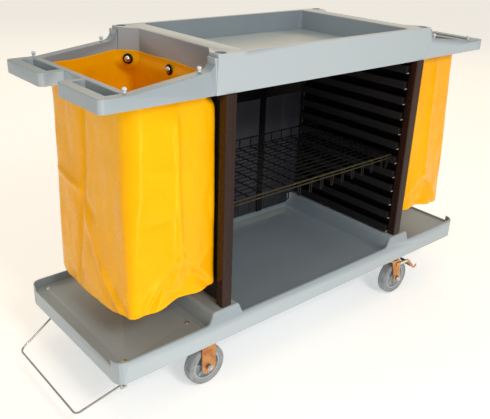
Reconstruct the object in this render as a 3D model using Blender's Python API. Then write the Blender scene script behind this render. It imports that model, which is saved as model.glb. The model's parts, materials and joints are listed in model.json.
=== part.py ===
"""Housekeeping cart: moulded base and top deck, ribbed cabinet with a wire shelf, two hung bags,
two fixed and two swivel casters, and a folding wire bail at the left end.

Metres, +Z up. X runs along the cart, the bail is at -X, and the open front faces -Y. The cart is
modelled about its own middle and then carried by one empty, so that the origin is the bottom
centre of the whole object, the bail included.
"""
import math

import bmesh
import bpy
from mathutils import Matrix, Vector

# Overall sizes
HALF_LENGTH = 0.757            # base platform, end to end 1.51 m
HALF_WIDTH = 0.268
BASE_Z = 0.160                 # lower edge of the base skirt
GAP = 0.0003                   # running gap between touching solids

# Base platform, heights above the floor
RIM_Z = BASE_Z + 0.068
FLOOR_Z = BASE_Z + 0.044
LIP_Z = BASE_Z + 0.050
RIDGE_Z = BASE_Z + 0.105
RIDGE_IN, RIDGE_OUT = 0.355, 0.440
SKIN = 0.005
SKIRT = 0.008
CORNER_R = 0.030

# Top deck
DECK_Z = BASE_Z + 0.729
DECK_TOP = BASE_Z + 0.829
TRAY_Z = BASE_Z + 0.764
DECK_X, DECK_Y = 0.438, 0.257
TRAY_X, TRAY_Y = 0.335, 0.238
RECESS_X, RECESS_Y = 0.395, 0.191
CHAMFER = 0.026                # the recess's corner slants from RECESS_Y - CHAMFER to RECESS_Y + CHAMFER
DECK_DRAFT = 0.006
POST_HOLE_R = 0.015

# Bag frames
FRAME_END = 0.758
FRAME_Y = 0.254
ARM_Y = 0.222
MOUTH_X = 0.671
BAR_X = 0.691
POCKET_X = 0.727
POCKET_Y = (0.068, 0.228)
NOTCH_Y = 0.047
POCKET_Z = BASE_Z + 0.740
FRAME_TOP = BASE_Z + 0.764
FRAME_RISE = 0.028             # the arms climb this much towards the deck
FRAME_SKIN = 0.004
ROOT_LENGTH, ROOT_RISE = 0.023, 0.030   # hollow curve from an arm up to the deck's corner

# Cabinet
POST_X = (0.375, 0.410)
POST_Y = (0.232, 0.262)
PANEL_X = (0.380, 0.3945)
RUNNER_X = 0.362
RUNNER_H = 0.026
RUNNER_PITCH = 0.052
RUNNER_COUNT = 12
RUNNER_Z = BASE_Z + 0.111      # underside of the lowest runner
BACK_Y = (0.246, 0.254)
BACK_SEAM_X = 0.176
SEAM_HALF = 0.013
BACK_Z = (BASE_Z + 0.070, BASE_Z + 0.525)

# Wire shelf
SHELF_LEVEL = 5
SHELF_WIRE = 0.005
SHELF_X = 0.371
SHELF_Y = (-0.212, 0.138)
SHELF_BAYS = (14, 5)           # openings along X and along Y
SHELF_LIP_UP = 0.032
SHELF_LIP_DOWN = 0.046

# Bags
BAG_OFF = 0.0080               # from the deck's recess to the bag's cabinet side
BAG_OUTER_X, BAG_Y = 0.6690, 0.2195
BAG_TOP_Z = BASE_Z + 0.764
BAG_BOTTOM_Z = BASE_Z + 0.138
BAG_WALL = 0.003
STUD_Z = BASE_Z + 0.742
STUD_HOLE_R = 0.006

# Casters
WHEEL_R, WHEEL_W = 0.065, 0.036
WHEEL_SIDES = 24               # the flats, not the corners, are WHEEL_R from the axle
TYRE_IN_R = 0.047
AXLE_R = 0.006
FIXED_AT = (-0.443, 0.222)
SWIVEL_AT = (0.415, 0.234)
TRAIL = 0.026
LEG_T = 0.003
FIXED_TOP = BASE_Z + 0.012
PLATE_T = 0.003
PAD_HALF = (0.055, 0.033)

# Bail
BAIL_PIVOT = (-0.715, 0.212, 0.115)
BAIL_BAR = (-0.843, 0.180, 0.056)
BAIL_R = 0.003

# Parent of everything: shifts the cart so that the bounding box is centred
CART_SHIFT = ((-BAIL_BAR[0] + BAIL_R) - FRAME_END) / 2


def clear_scene():
    for item in list(bpy.data.objects):
        bpy.data.objects.remove(item, do_unlink=True)


def finish_material(name, colour, roughness, metallic=0.0):
    material = bpy.data.materials.new(name)
    material.use_nodes = True
    shader = material.node_tree.nodes["Principled BSDF"]
    shader.inputs["Base Color"].default_value = (*colour, 1.0)
    shader.inputs["Roughness"].default_value = roughness
    shader.inputs["Metallic"].default_value = metallic
    return material


def make_materials():
    return {
        "grey_plastic": finish_material("grey_plastic", (0.36, 0.40, 0.43), 0.45),
        "brown_plastic": finish_material("brown_plastic", (0.035, 0.014, 0.008), 0.30),
        "black_plastic": finish_material("black_plastic", (0.008, 0.007, 0.007), 0.40),
        "slate_plastic": finish_material("slate_plastic", (0.045, 0.045, 0.058), 0.45),
        "black_wire": finish_material("black_wire", (0.01, 0.01, 0.01), 0.35),
        "bag_vinyl": finish_material("bag_vinyl", (1.0, 0.50, 0.003), 0.35),
        "zinc_steel": finish_material("zinc_steel", (0.46, 0.19, 0.06), 0.35, 1.0),
        "bright_steel": finish_material("bright_steel", (0.75, 0.75, 0.74), 0.25, 1.0),
        "grey_rubber": finish_material("grey_rubber", (0.22, 0.23, 0.24), 0.65),
        "grey_hub": finish_material("grey_hub", (0.26, 0.29, 0.31), 0.45),
        "bail_steel": finish_material("bail_steel", (0.42, 0.42, 0.42), 0.30, 1.0),
        "peg_plastic": finish_material("peg_plastic", (0.62, 0.68, 0.72), 0.40),
    }


def add_object(name, bm, material, origin=(0.0, 0.0, 0.0), parent=None, smooth=False):
    """Turns a bmesh drawn in the cart's own frame into an object whose origin is `origin`."""
    bmesh.ops.recalc_face_normals(bm, faces=bm.faces)
    bmesh.ops.translate(bm, vec=-Vector(origin), verts=bm.verts)
    mesh = bpy.data.meshes.new(name)
    bm.to_mesh(mesh)
    bm.free()
    if smooth:
        mesh.shade_smooth()
        mesh.set_sharp_from_angle(angle=math.radians(35))
    item = bpy.data.objects.new(name, mesh)
    item.data.materials.append(material)
    bpy.context.scene.collection.objects.link(item)
    attach(item, origin, parent)
    return item


def attach(item, origin, parent):
    """Parents an item so that it stands at `origin`, given in the cart's own frame."""
    item.parent = parent
    item.location = Vector(origin)
    while parent and parent.name != "cart":
        item.location -= parent.location
        parent = parent.parent


def add_empty(name, origin, parent):
    item = bpy.data.objects.new(name, None)
    bpy.context.scene.collection.objects.link(item)
    attach(item, origin, parent)
    return item


def add_cutter(name, bm, parent):
    """A tool body for Booleans, which is no part of the cart."""
    bmesh.ops.recalc_face_normals(bm, faces=bm.faces)
    mesh = bpy.data.meshes.new(name)
    bm.to_mesh(mesh)
    bm.free()
    item = bpy.data.objects.new(name, mesh)
    bpy.context.scene.collection.objects.link(item)
    item.parent = parent
    item.hide_render = True
    item.display_type = "WIRE"
    return item


def combine(item, tool, operation):
    modifier = item.modifiers.new(tool.name, "BOOLEAN")
    modifier.operation = operation
    modifier.solver = "EXACT"
    modifier.object = tool


def merge(*parts):
    """One bmesh that holds several, which are freed."""
    whole = bmesh.new()
    for part in parts:
        mesh = bpy.data.meshes.new("part")
        part.to_mesh(mesh)
        part.free()
        whole.from_mesh(mesh)
        bpy.data.meshes.remove(mesh)
    return whole


def box(low, high):
    bm = bmesh.new()
    size = [b - a for a, b in zip(low, high)]
    middle = [(a + b) / 2 for a, b in zip(low, high)]
    bmesh.ops.create_cube(bm, size=1.0)
    bmesh.ops.scale(bm, vec=size, verts=bm.verts)
    bmesh.ops.translate(bm, vec=middle, verts=bm.verts)
    return bm


def rounded_box(low, high, radius, axis, segments=3):
    """A box whose four edges along one axis (0, 1 or 2) are rounded."""
    bm = box(low, high)
    round_edges(bm, radius, segments, lambda a, b: abs((b - a).normalized()[axis]) > 0.99)
    return bm


def prism(outline, axis, low, high):
    """Extrudes an outline. Its points are the two coordinates other than `axis`, in X, Y, Z order."""
    def place(point, depth):
        values = list(point)
        values.insert(axis, depth)
        return values

    bm = bmesh.new()
    face = bm.faces.new([bm.verts.new(place(point, low)) for point in outline])
    made = bmesh.ops.extrude_face_region(bm, geom=[face])["geom"]
    moved = [item for item in made if isinstance(item, bmesh.types.BMVert)]
    step = place((0.0, 0.0), high - low)
    bmesh.ops.translate(bm, vec=step, verts=moved)
    return bm


def turned(profile, centre, axis, segments, closed=False):
    """Turns a profile of (radius, height) points about an axis (0, 1 or 2) through `centre`.

    An open profile starts and ends on the axis, and a closed one is a ring's section."""
    turn = {0: Matrix.Rotation(math.pi / 2, 4, "Y"), 1: Matrix.Rotation(-math.pi / 2, 4, "X"),
            2: Matrix.Identity(4)}[axis]
    bm = bmesh.new()
    rings = []
    for radius, height in profile:
        if radius < 1e-6:
            rings.append([bm.verts.new((0.0, 0.0, height))])
            continue
        ring = []
        for step in range(segments):
            angle = 2 * math.pi * (step + 0.5) / segments
            ring.append(bm.verts.new((radius * math.cos(angle), radius * math.sin(angle), height)))
        rings.append(ring)
    pairs = list(zip(rings, rings[1:]))
    if closed:
        pairs.append((rings[-1], rings[0]))
    for first, second in pairs:
        join_rings(bm, first, second)
    bmesh.ops.transform(bm, matrix=Matrix.Translation(centre) @ turn, verts=bm.verts)
    return bm


def join_rings(bm, first, second):
    count = max(len(first), len(second))
    for step in range(count):
        following = (step + 1) % count
        corners = [first[step % len(first)], first[following % len(first)],
                   second[following % len(second)], second[step % len(second)]]
        kept = []
        for corner in corners:
            if corner not in kept:
                kept.append(corner)
        bm.faces.new(kept)


def loft(sections):
    """Joins rings of points, all of one length, and closes both ends."""
    bm = bmesh.new()
    rings = [[bm.verts.new(point) for point in section] for section in sections]
    for first, second in zip(rings, rings[1:]):
        join_rings(bm, first, second)
    bm.faces.new(rings[0])
    bm.faces.new(rings[-1])
    return bm


def round_edges(bm, width, segments, chosen):
    """Rounds the edges for which chosen(start, end) holds."""
    edges = [edge for edge in bm.edges if chosen(edge.verts[0].co, edge.verts[1].co)]
    bmesh.ops.bevel(bm, geom=edges, offset=width, offset_type="OFFSET", segments=segments,
                    profile=0.5, affect="EDGES", clamp_overlap=True)


def grid_solid(xs, ys, zs, filled, place=None):
    """A solid made of the cells of a grid for which filled(x, y, z) holds at the cell's middle.

    place(x, y, z), if given, moves the grid's corners afterwards, for tapers and slants."""
    bm = bmesh.new()
    corners = {}
    axes = (xs, ys, zs)

    def corner(index):
        if index not in corners:
            point = [axis[at] for axis, at in zip(axes, index)]
            corners[index] = bm.verts.new(place(*point) if place else point)
        return corners[index]

    def is_filled(index):
        if any(at < 0 or at >= len(axis) - 1 for axis, at in zip(axes, index)):
            return False
        return filled(*[(axis[at] + axis[at + 1]) / 2 for axis, at in zip(axes, index)])

    for i in range(len(xs) - 1):
        for j in range(len(ys) - 1):
            for k in range(len(zs) - 1):
                if not is_filled((i, j, k)):
                    continue
                for axis in range(3):
                    for side in (0, 1):
                        beyond = [i, j, k]
                        beyond[axis] += 1 if side else -1
                        if not is_filled(beyond):
                            add_cell_face(bm, corner, (i, j, k), axis, side)
    bmesh.ops.recalc_face_normals(bm, faces=bm.faces)
    bmesh.ops.dissolve_limit(bm, angle_limit=math.radians(0.05), verts=bm.verts, edges=bm.edges)
    return bm


def add_cell_face(bm, corner, cell, axis, side):
    first, second = [other for other in range(3) if other != axis]
    ring = []
    for step_first, step_second in ((0, 0), (1, 0), (1, 1), (0, 1)):
        index = list(cell)
        index[axis] += side
        index[first] += step_first
        index[second] += step_second
        ring.append(corner(tuple(index)))
    bm.faces.new(ring)


def mirrored(values):
    """Grid lines on both sides of zero."""
    return sorted([-value for value in values if value > 0] + list(values))


def ease(value, low, high):
    """0 below low, 1 above high, and an S-shaped curve between."""
    share = min(max((value - low) / (high - low), 0.0), 1.0)
    return share * share * (3 - 2 * share)


# ---------------------------------------------------------------- base platform

def ridge_height(x, base, top, inset):
    """Height at x of a surface that rises from `base` to `top` over the ridge under a side panel."""
    rise = ease(x, RIDGE_IN - 0.022 + inset, RIDGE_IN + inset)
    fall = 1 - ease(x, RIDGE_OUT - inset, RIDGE_OUT + 0.020 - inset)
    return base + (top - base) * min(rise, fall)


def base_section(x):
    """The base's outline across the cart at x: skirt, rim, floor and the hollow underneath."""
    distance = abs(x)
    corner = max(distance - (HALF_LENGTH - CORNER_R), 0.0)
    half = HALF_WIDTH - CORNER_R + math.sqrt(max(CORNER_R ** 2 - corner ** 2, 0.0))
    rim = ridge_height(distance, RIM_Z, RIDGE_Z, 0.0)
    floor = ridge_height(distance, FLOOR_Z, RIDGE_Z - 0.001, 0.0)
    if distance > HALF_LENGTH - 0.006:
        floor = LIP_Z
    under = ridge_height(distance, FLOOR_Z - SKIN, RIDGE_Z - 0.001 - SKIN, SKIN)
    if distance > HALF_LENGTH - SKIRT:
        under = BASE_Z + 0.0005
    side = [(half, BASE_Z), (half, rim - 0.004), (half - 0.0012, rim - 0.0012), (half - 0.004, rim),
            (half - SKIRT + 0.001, rim), (half - SKIRT, rim - 0.0007), (half - SKIRT, floor)]
    front = [(x, -y, z) for y, z in side]
    back = [(x, y, z) for y, z in reversed(side)]
    hollow = [(x, half - SKIRT, BASE_Z), (x, half - SKIRT, under),
              (x, -half + SKIRT, under), (x, -half + SKIRT, BASE_Z)]
    return front + back + hollow


def base_stations():
    """Places along X where the base's section is drawn, on one side."""
    steps = 4
    places = [0.0, HALF_LENGTH - SKIRT, HALF_LENGTH - SKIRT + 0.0005,
              HALF_LENGTH - 0.006, HALF_LENGTH - 0.0055]
    for inset in (0.0, SKIN):
        for step in range(steps + 1):
            places.append(RIDGE_IN + inset - 0.022 * (1 - step / steps))
            places.append(RIDGE_OUT - inset + 0.020 * step / steps)
    for step in range(steps + 1):
        angle = math.pi / 2 * step / steps
        places.append(HALF_LENGTH - CORNER_R + CORNER_R * math.sin(angle))
    kept = []
    for place in sorted(places):
        if not kept or place - kept[-1] > 0.0004:
            kept.append(place)
    return mirrored(kept)


def floor_bolt_places():
    """Where bolts pass through the base floor: two for the bail, two for the fixed casters."""
    bail_x, caster_x = -0.717, FIXED_AT[0] - 0.038
    return {"bail_bolt_front": (bail_x, -0.232), "bail_bolt_back": (bail_x, 0.232),
            "caster_bolt_front": (caster_x, -0.186), "caster_bolt_back": (caster_x, 0.186)}


def build_base(cart, materials):
    bm = loft([base_section(x) for x in base_stations()])
    base = add_object("base_platform", bm, materials["grey_plastic"], parent=cart)
    pads = []
    for side in (-1, 1):
        for (x, y), bottom, half_y in ((FIXED_AT, FIXED_TOP, PAD_HALF[1]), (SWIVEL_AT, BASE_Z, 0.028)):
            outer = HALF_WIDTH - SKIRT + 0.003
            reach = sorted((side * outer, side * (y - half_y)))
            pads.append(box((x - PAD_HALF[0], reach[0], bottom),
                            (x + PAD_HALF[0], reach[1], FLOOR_Z - SKIN + 0.002)))
    combine(base, add_cutter("caster_pads", merge(*pads), cart), "UNION")
    holes = []
    for x, y in floor_bolt_places().values():
        holes.append(turned([(0, BASE_Z - 0.01), (0.0043, BASE_Z - 0.01), (0.0043, FLOOR_Z + 0.01),
                             (0, FLOOR_Z + 0.01)], (x, y, 0), 2, 12))
    cutter = add_cutter("floor_bolt_holes", merge(*holes), cart)
    combine(base, cutter, "DIFFERENCE")
    return cutter


# ---------------------------------------------------------------- top deck and bag frames

def place_deck(x, y, z):
    """Slants the end recess's corners and gives the outer walls a little draft."""
    height = (z - DECK_Z) / (DECK_TOP - DECK_Z)
    if abs(abs(y) - RECESS_Y) < 1e-6:
        if abs(abs(x) - RECESS_X) < 1e-6:
            y = math.copysign(RECESS_Y - CHAMFER, y)
        if abs(abs(x) - DECK_X) < 1e-6:
            y = math.copysign(RECESS_Y + CHAMFER, y)
    if abs(x) > DECK_X - 1e-6:
        x = math.copysign(DECK_X - DECK_DRAFT * height, x)
    if abs(y) > DECK_Y - 1e-6:
        y = math.copysign(DECK_Y - DECK_DRAFT * 0.4 * height, y)
    return x, y, z


def deck_filled(x, y, z):
    x, y = abs(x), abs(y)
    if x > RECESS_X and y < RECESS_Y:
        return False
    in_tray = x < TRAY_X and y < TRAY_Y
    if in_tray:
        return TRAY_Z - SKIN < z < TRAY_Z
    if x < TRAY_X + SKIN and y < TRAY_Y + SKIN:
        return z > TRAY_Z - SKIN
    hollow_end = TRAY_X + SKIN < x < RECESS_X - SKIN and y < 0.160 and z < DECK_TOP - SKIN
    hollow_side = x < TRAY_X + SKIN and TRAY_Y + SKIN < y < DECK_Y - 0.006 and z < DECK_TOP - SKIN
    return not (hollow_end or hollow_side)


def build_deck(cart, materials):
    xs = mirrored([TRAY_X, TRAY_X + SKIN, RECESS_X - SKIN, RECESS_X, DECK_X])
    ys = mirrored([0.160, RECESS_Y, TRAY_Y, TRAY_Y + SKIN, DECK_Y - 0.006, DECK_Y])
    zs = [DECK_Z, TRAY_Z - SKIN, TRAY_Z, DECK_TOP - SKIN, DECK_TOP]
    bm = grid_solid(xs, ys, zs, deck_filled, place_deck)
    round_edges(bm, 0.012, 3, lambda a, b: is_upright(a, b) and near(a, TRAY_X, TRAY_Y)
                and near(b, TRAY_X, TRAY_Y))
    round_edges(bm, 0.0035, 2, lambda a, b: min(a.z, b.z) > DECK_TOP - 1e-5)
    round_edges(bm, 0.0030, 2, lambda a, b: is_upright(a, b) and min(abs(a.x), abs(b.x)) > DECK_X - 0.01
                and min(abs(a.y), abs(b.y)) > DECK_Y - 0.01)
    deck = add_object("top_deck", bm, materials["grey_plastic"], parent=cart)
    holes = []
    for x in (-1, 1):
        for y in (-1, 1):
            centre = (x * 0.412, y * 0.236, 0)
            holes.append(turned([(0, DECK_TOP - 0.055), (POST_HOLE_R, DECK_TOP - 0.055),
                                 (POST_HOLE_R, DECK_TOP + 0.01), (0, DECK_TOP + 0.01)], centre, 2, 20))
    combine(deck, add_cutter("deck_post_holes", merge(*holes), cart), "DIFFERENCE")


def is_upright(a, b):
    return abs(a.x - b.x) < 0.012 and abs(a.y - b.y) < 0.012 and abs(a.z - b.z) > 0.02


def near(point, x, y):
    return abs(abs(point.x) - x) < 1e-4 and abs(abs(point.y) - y) < 1e-4


def frame_filled(x, y, z):
    y = abs(y)
    if x < MOUTH_X and y < ARM_Y:
        return False
    if x > BAR_X and y < NOTCH_Y:
        return False
    skin = FRAME_SKIN
    arm_hollow = x < MOUTH_X - skin and ARM_Y + skin < y < FRAME_Y - skin and z < FRAME_TOP - skin
    if BAR_X < x < POCKET_X and POCKET_Y[0] < y < POCKET_Y[1]:
        return z < POCKET_Z
    return not (arm_hollow and x > DECK_X + ROOT_LENGTH)


def build_bag_frame(cart, materials, side, name):
    skin = FRAME_SKIN
    start = DECK_X + GAP

    def place(x, y, z):
        if z > FRAME_TOP - skin - 1e-6 and x < MOUTH_X:
            z += FRAME_RISE * (MOUTH_X - x) / (MOUTH_X - start)
            away = max(1.0 - (x - start) / ROOT_LENGTH, 0.0)
            z += ROOT_RISE * (1.0 - math.sqrt(1.0 - away * away))
        return side * x, y, z

    root = [start + ROOT_LENGTH * share for share in (0.0, 0.06, 0.18, 0.36, 0.62, 1.0)]
    xs = root + [MOUTH_X - skin, MOUTH_X, BAR_X, POCKET_X, FRAME_END]
    ys = mirrored([NOTCH_Y, POCKET_Y[0], ARM_Y, ARM_Y + skin, POCKET_Y[1], FRAME_Y - skin, FRAME_Y])
    zs = [DECK_Z, POCKET_Z, FRAME_TOP - skin, FRAME_TOP]
    bm = grid_solid(xs, ys, zs, frame_filled, place)
    round_edges(bm, 0.013, 4, lambda a, b: is_upright(a, b) and min(abs(a.x), abs(b.x)) > FRAME_END - 1e-4)
    round_edges(bm, 0.0030, 2, lambda a, b: min(a.z, b.z) > FRAME_TOP - 1e-5
                and max(abs(a.x), abs(b.x)) > DECK_X + ROOT_LENGTH + 0.01)
    frame = add_object(name, bm, materials["grey_plastic"], parent=cart)
    return frame


def build_pegs(cart, materials, side, end_name):
    """Short headed pegs on the arms, which stand 0.3 mm clear of the moulding."""
    for row, x, lift in (("outer", 0.685, 0.0), ("inner", 0.478, 0.0232)):
        for face, y in (("front", -0.238), ("back", 0.238)):
            bottom = FRAME_TOP + lift + 0.0016
            profile = [(0, 0), (0.0045, 0), (0.0045, 0.007), (0.0062, 0.009), (0.0062, 0.012),
                       (0.0035, 0.0145), (0, 0.0150)]
            bm = turned(profile, (side * x, y, bottom), 2, 12)
            add_object(f"bag_peg_{end_name}_{row}_{face}", bm, materials["peg_plastic"],
                       parent=cart, smooth=True)


# ---------------------------------------------------------------- cabinet

def build_posts(cart, materials):
    for side, end_name in ((-1, "left"), (1, "right")):
        for face, face_name in ((-1, "front"), (1, "back")):
            low, high = sorted((side * POST_X[0], side * POST_X[1])), sorted((face * POST_Y[0], face * POST_Y[1]))
            bm = rounded_box((low[0], high[0], RIDGE_Z + GAP), (low[1], high[1], DECK_Z - GAP), 0.003, 2, 2)
            add_object(f"corner_post_{end_name}_{face_name}", bm, materials["brown_plastic"], parent=cart)


def build_side_panel(cart, materials, side, name):
    """A moulded wall with square shelf runners on its inner face, drawn as a comb and extruded."""
    inner, outer = PANEL_X
    outline = [(side * outer, RIDGE_Z + GAP), (side * outer, DECK_Z - GAP), (side * inner, DECK_Z - GAP)]
    for level in reversed(range(RUNNER_COUNT)):
        bottom = RUNNER_Z + level * RUNNER_PITCH
        top = min(bottom + RUNNER_H, DECK_Z - 0.004)
        outline += [(side * inner, top), (side * (RUNNER_X + 0.002), top), (side * RUNNER_X, top - 0.002),
                    (side * RUNNER_X, bottom + 0.002), (side * (RUNNER_X + 0.002), bottom), (side * inner, bottom)]
    outline.append((side * inner, RIDGE_Z + GAP))
    bm = prism(outline, 1, -POST_Y[0] + GAP, POST_Y[0] - GAP)
    add_object(name, bm, materials["black_plastic"], parent=cart)


def build_back(cart, materials):
    inner = POST_X[0] - GAP
    spans = {"back_panel_left": (-inner, -BACK_SEAM_X - SEAM_HALF - GAP),
             "back_panel_middle": (-BACK_SEAM_X + SEAM_HALF + GAP, BACK_SEAM_X - SEAM_HALF - GAP),
             "back_panel_right": (BACK_SEAM_X + SEAM_HALF + GAP, inner)}
    for name, (low, high) in spans.items():
        foot = RIDGE_IN - 0.024        # the outer panels are notched over the ridges
        bottom, top = BACK_Z
        outline = [(low, top), (low, bottom), (high, bottom), (high, top)]
        if low < -foot:
            outline[1:2] = [(low, RIDGE_Z + GAP), (-foot, RIDGE_Z + GAP), (-foot, bottom)]
        if high > foot:
            outline[2:3] = [(foot, bottom), (foot, RIDGE_Z + GAP), (high, RIDGE_Z + GAP)]
        bm = prism(outline, 1, *BACK_Y)
        add_object(name, bm, materials["slate_plastic"], parent=cart)
    outline = [(-inner, DECK_Z - GAP), (-inner, BACK_Z[1] + GAP)]
    for seam in (-BACK_SEAM_X, BACK_SEAM_X):
        outline += [(seam - SEAM_HALF, BACK_Z[1] + GAP), (seam - SEAM_HALF, BACK_Z[0]),
                    (seam + SEAM_HALF, BACK_Z[0]), (seam + SEAM_HALF, BACK_Z[1] + GAP)]
    outline += [(inner, BACK_Z[1] + GAP), (inner, DECK_Z - GAP)]
    bm = prism(outline, 1, BACK_Y[0] - 0.005, BACK_Y[1])
    add_object("back_frame", bm, materials["black_plastic"], parent=cart)


def shelf_lines(low, high, bays):
    """Both faces of each wire, for `bays` openings between the first wire and the last."""
    lines = []
    for step in range(bays + 1):
        start = low + (high - low - SHELF_WIRE) * step / bays
        lines += [start, start + SHELF_WIRE]
    return lines


def build_shelf(cart, materials):
    """The wire shelf as one welded grid of square bars, with a rear lip up and a front lip down."""
    bottom = RUNNER_Z + SHELF_LEVEL * RUNNER_PITCH + RUNNER_H + GAP
    top = bottom + SHELF_WIRE
    across = shelf_lines(-SHELF_X, SHELF_X, SHELF_BAYS[0])
    along = shelf_lines(SHELF_Y[0], SHELF_Y[1], SHELF_BAYS[1])
    inside = RUNNER_X - 0.003
    xs = sorted(across + [-inside, inside])
    low, high = bottom - SHELF_LIP_DOWN, bottom + SHELF_LIP_UP
    zs = [low, low + SHELF_WIRE, bottom, top, high, high + SHELF_WIRE]

    def on_wire(value, lines):
        return any(start < value < end for start, end in zip(lines[0::2], lines[1::2]))

    def filled(x, y, z):
        if bottom < z < top:
            return on_wire(x, across) or on_wire(y, along)
        upright = low + SHELF_WIRE < z < high
        if abs(x) > inside or upright and not on_wire(x, across):
            return False
        return y < SHELF_Y[0] + SHELF_WIRE if z < bottom else y > SHELF_Y[1] - SHELF_WIRE

    bm = grid_solid(xs, along, zs, filled)
    add_object("wire_shelf", bm, materials["black_wire"], origin=(0, 0, bottom), parent=cart)


# ---------------------------------------------------------------- bags

def slant_normal():
    """Direction that the recess's slanted corner faces, as positive X and Y parts."""
    along = Vector((DECK_X - RECESS_X, 2 * CHAMFER)).normalized()
    return along.y, along.x


def slant_ends(offset, half_y):
    """Where the bag's slanted corner leaves its cabinet side, and where it meets its end at half_y."""
    nx, ny = slant_normal()
    level = DECK_X * nx - (RECESS_Y + CHAMFER) * ny + offset
    low_x = RECESS_X + offset
    return (low_x, (low_x * nx - level) / ny), ((level + half_y * ny) / nx, half_y)


def bag_ring(offset, high_x, half_y, z, radius, side, steps=3):
    """Points at height z: round corners outside, and corners slanted like the deck's recess inside."""
    points = []
    for quarter, face in ((0, 1), (3, -1)):
        if face < 0:
            points += [(side * x, -y, z) for x, y in slant_ends(offset, half_y)]
        for step in range(steps + 1):
            angle = math.pi / 2 * (quarter + step / steps)
            points.append((side * (high_x - radius + radius * math.cos(angle)),
                           face * (half_y - radius) + radius * math.sin(angle), z))
        if face > 0:
            points += [(side * x, y, z) for x, y in reversed(slant_ends(offset, half_y))]
    return points


def stud_places(side):
    """Wall point and outward direction of each stud: one in the middle, one on each slanted corner."""
    nx, ny = slant_normal()
    middle_x = (RECESS_X + DECK_X) / 2
    return {"front": (Vector((side * middle_x, -RECESS_Y, STUD_Z)), Vector((side * nx, ny, 0))),
            "middle": (Vector((side * RECESS_X, 0, STUD_Z)), Vector((side, 0, 0))),
            "back": (Vector((side * middle_x, RECESS_Y, STUD_Z)), Vector((side * nx, -ny, 0)))}


def turned_from_wall(profile, place, segments):
    """Turns a profile about the line from a wall point along its outward direction."""
    point, direction = place
    bm = turned(profile, (0, 0, 0), 0, segments)
    turn = Matrix.Rotation(math.atan2(direction.y, direction.x), 4, "Z")
    bmesh.ops.transform(bm, matrix=Matrix.Translation(point) @ turn, verts=bm.verts)
    return bm


def build_bag(cart, materials, side, name):
    """An open bag that swells a little below the frame and draws in to a soft bottom."""
    depth = BAG_TOP_Z - BAG_BOTTOM_Z
    shape = ((0.0, 0.0, 0.016), (0.06, 0.0, 0.018), (0.5, 0.012, 0.022), (0.88, 0.016, 0.026),
             (0.96, 0.011, 0.030), (0.99, 0.001, 0.032), (1.0, -0.012, 0.034))
    outer, inner = [], []
    for fall, swell, radius in shape:
        z = BAG_TOP_Z - depth * fall
        high_x, half_y = BAG_OUTER_X + swell, BAG_Y + swell * 0.4
        offset = BAG_OFF - min(swell, 0.0)
        outer.append(bag_ring(offset, high_x, half_y, z, radius, side))
        z = max(z, BAG_BOTTOM_Z + BAG_WALL)
        inner.append(bag_ring(offset + BAG_WALL, high_x - BAG_WALL, half_y - BAG_WALL, z,
                              radius - BAG_WALL, side))
    bm = loft(list(reversed(outer)) + inner)
    bag = add_object(name, bm, materials["bag_vinyl"], parent=cart)
    hole = [(0, 0.001), (STUD_HOLE_R, 0.001), (STUD_HOLE_R, 0.020), (0, 0.020)]
    holes = [turned_from_wall(hole, place, 12) for place in stud_places(side).values()]
    combine(bag, add_cutter(f"{name}_eyelets", merge(*holes), cart), "DIFFERENCE")


def build_studs(cart, materials, side, end_name):
    """Wide washers and domed nuts on the recess's wall, on studs that pass through the bag's eyelets."""
    head = BAG_OFF + BAG_WALL + 0.0006
    profile = [(0, 0.0005), (0.0045, 0.0005), (0.0045, head), (0.0145, head), (0.0155, head + 0.001),
               (0.0145, head + 0.003), (0.0095, head + 0.003), (0.0090, head + 0.007),
               (0.0055, head + 0.009), (0, head + 0.010)]
    for name, place in stud_places(side).items():
        bm = turned_from_wall(profile, place, 16)
        add_object(f"bag_stud_{end_name}_{name}", bm, materials["bright_steel"], parent=cart, smooth=True)


# ---------------------------------------------------------------- casters

def tyre_profile():
    """Section of the tyre, with a crowned tread made of an arc."""
    half = WHEEL_W / 2
    tread = WHEEL_R / math.cos(math.pi / WHEEL_SIDES)
    points = [(TYRE_IN_R, -half + 0.003), (TYRE_IN_R + 0.004, -half + 0.001)]
    steps = 4
    for step in range(steps + 1):
        angle = math.pi * (step / steps - 0.5)
        points.append((tread - 0.010 + 0.010 * math.cos(angle), half * math.sin(angle)))
    points += [(TYRE_IN_R + 0.004, half - 0.001), (TYRE_IN_R, half - 0.003)]
    return points


def hub_profile():
    rim, web, boss = TYRE_IN_R - GAP, 0.004, AXLE_R + GAP
    outer = [(rim, 0.0148), (0.040, 0.0148), (0.037, web), (0.020, web), (0.018, 0.0180), (boss, 0.0180)]
    return outer + [(radius, -height) for radius, height in reversed(outer)]


def axle_profile():
    """Bolt head, shank and nut."""
    leg = WHEEL_W / 2 + 0.0038 + LEG_T
    return [(0, -leg - 0.0075), (0.0085, -leg - 0.0075), (0.0100, -leg - 0.0060), (0.0100, -leg - GAP),
            (AXLE_R, -leg - GAP), (AXLE_R, leg + GAP), (0.0100, leg + GAP), (0.0100, leg + 0.0070),
            (AXLE_R, leg + 0.0075), (AXLE_R, leg + 0.0110), (0, leg + 0.0110)]


def build_wheel(cart, materials, prefix, centre):
    """Hub and tyre on an empty that turns about the axle."""
    wheel = add_empty(f"{prefix}_wheel", centre, cart)
    parts = (("hub", hub_profile(), "grey_hub"), ("tyre", tyre_profile(), "grey_rubber"))
    for part, profile, finish in parts:
        bm = turned(profile, centre, 1, WHEEL_SIDES, closed=True)
        add_object(f"{prefix}_{part}", bm, materials[finish], origin=centre, parent=wheel, smooth=True)


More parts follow.
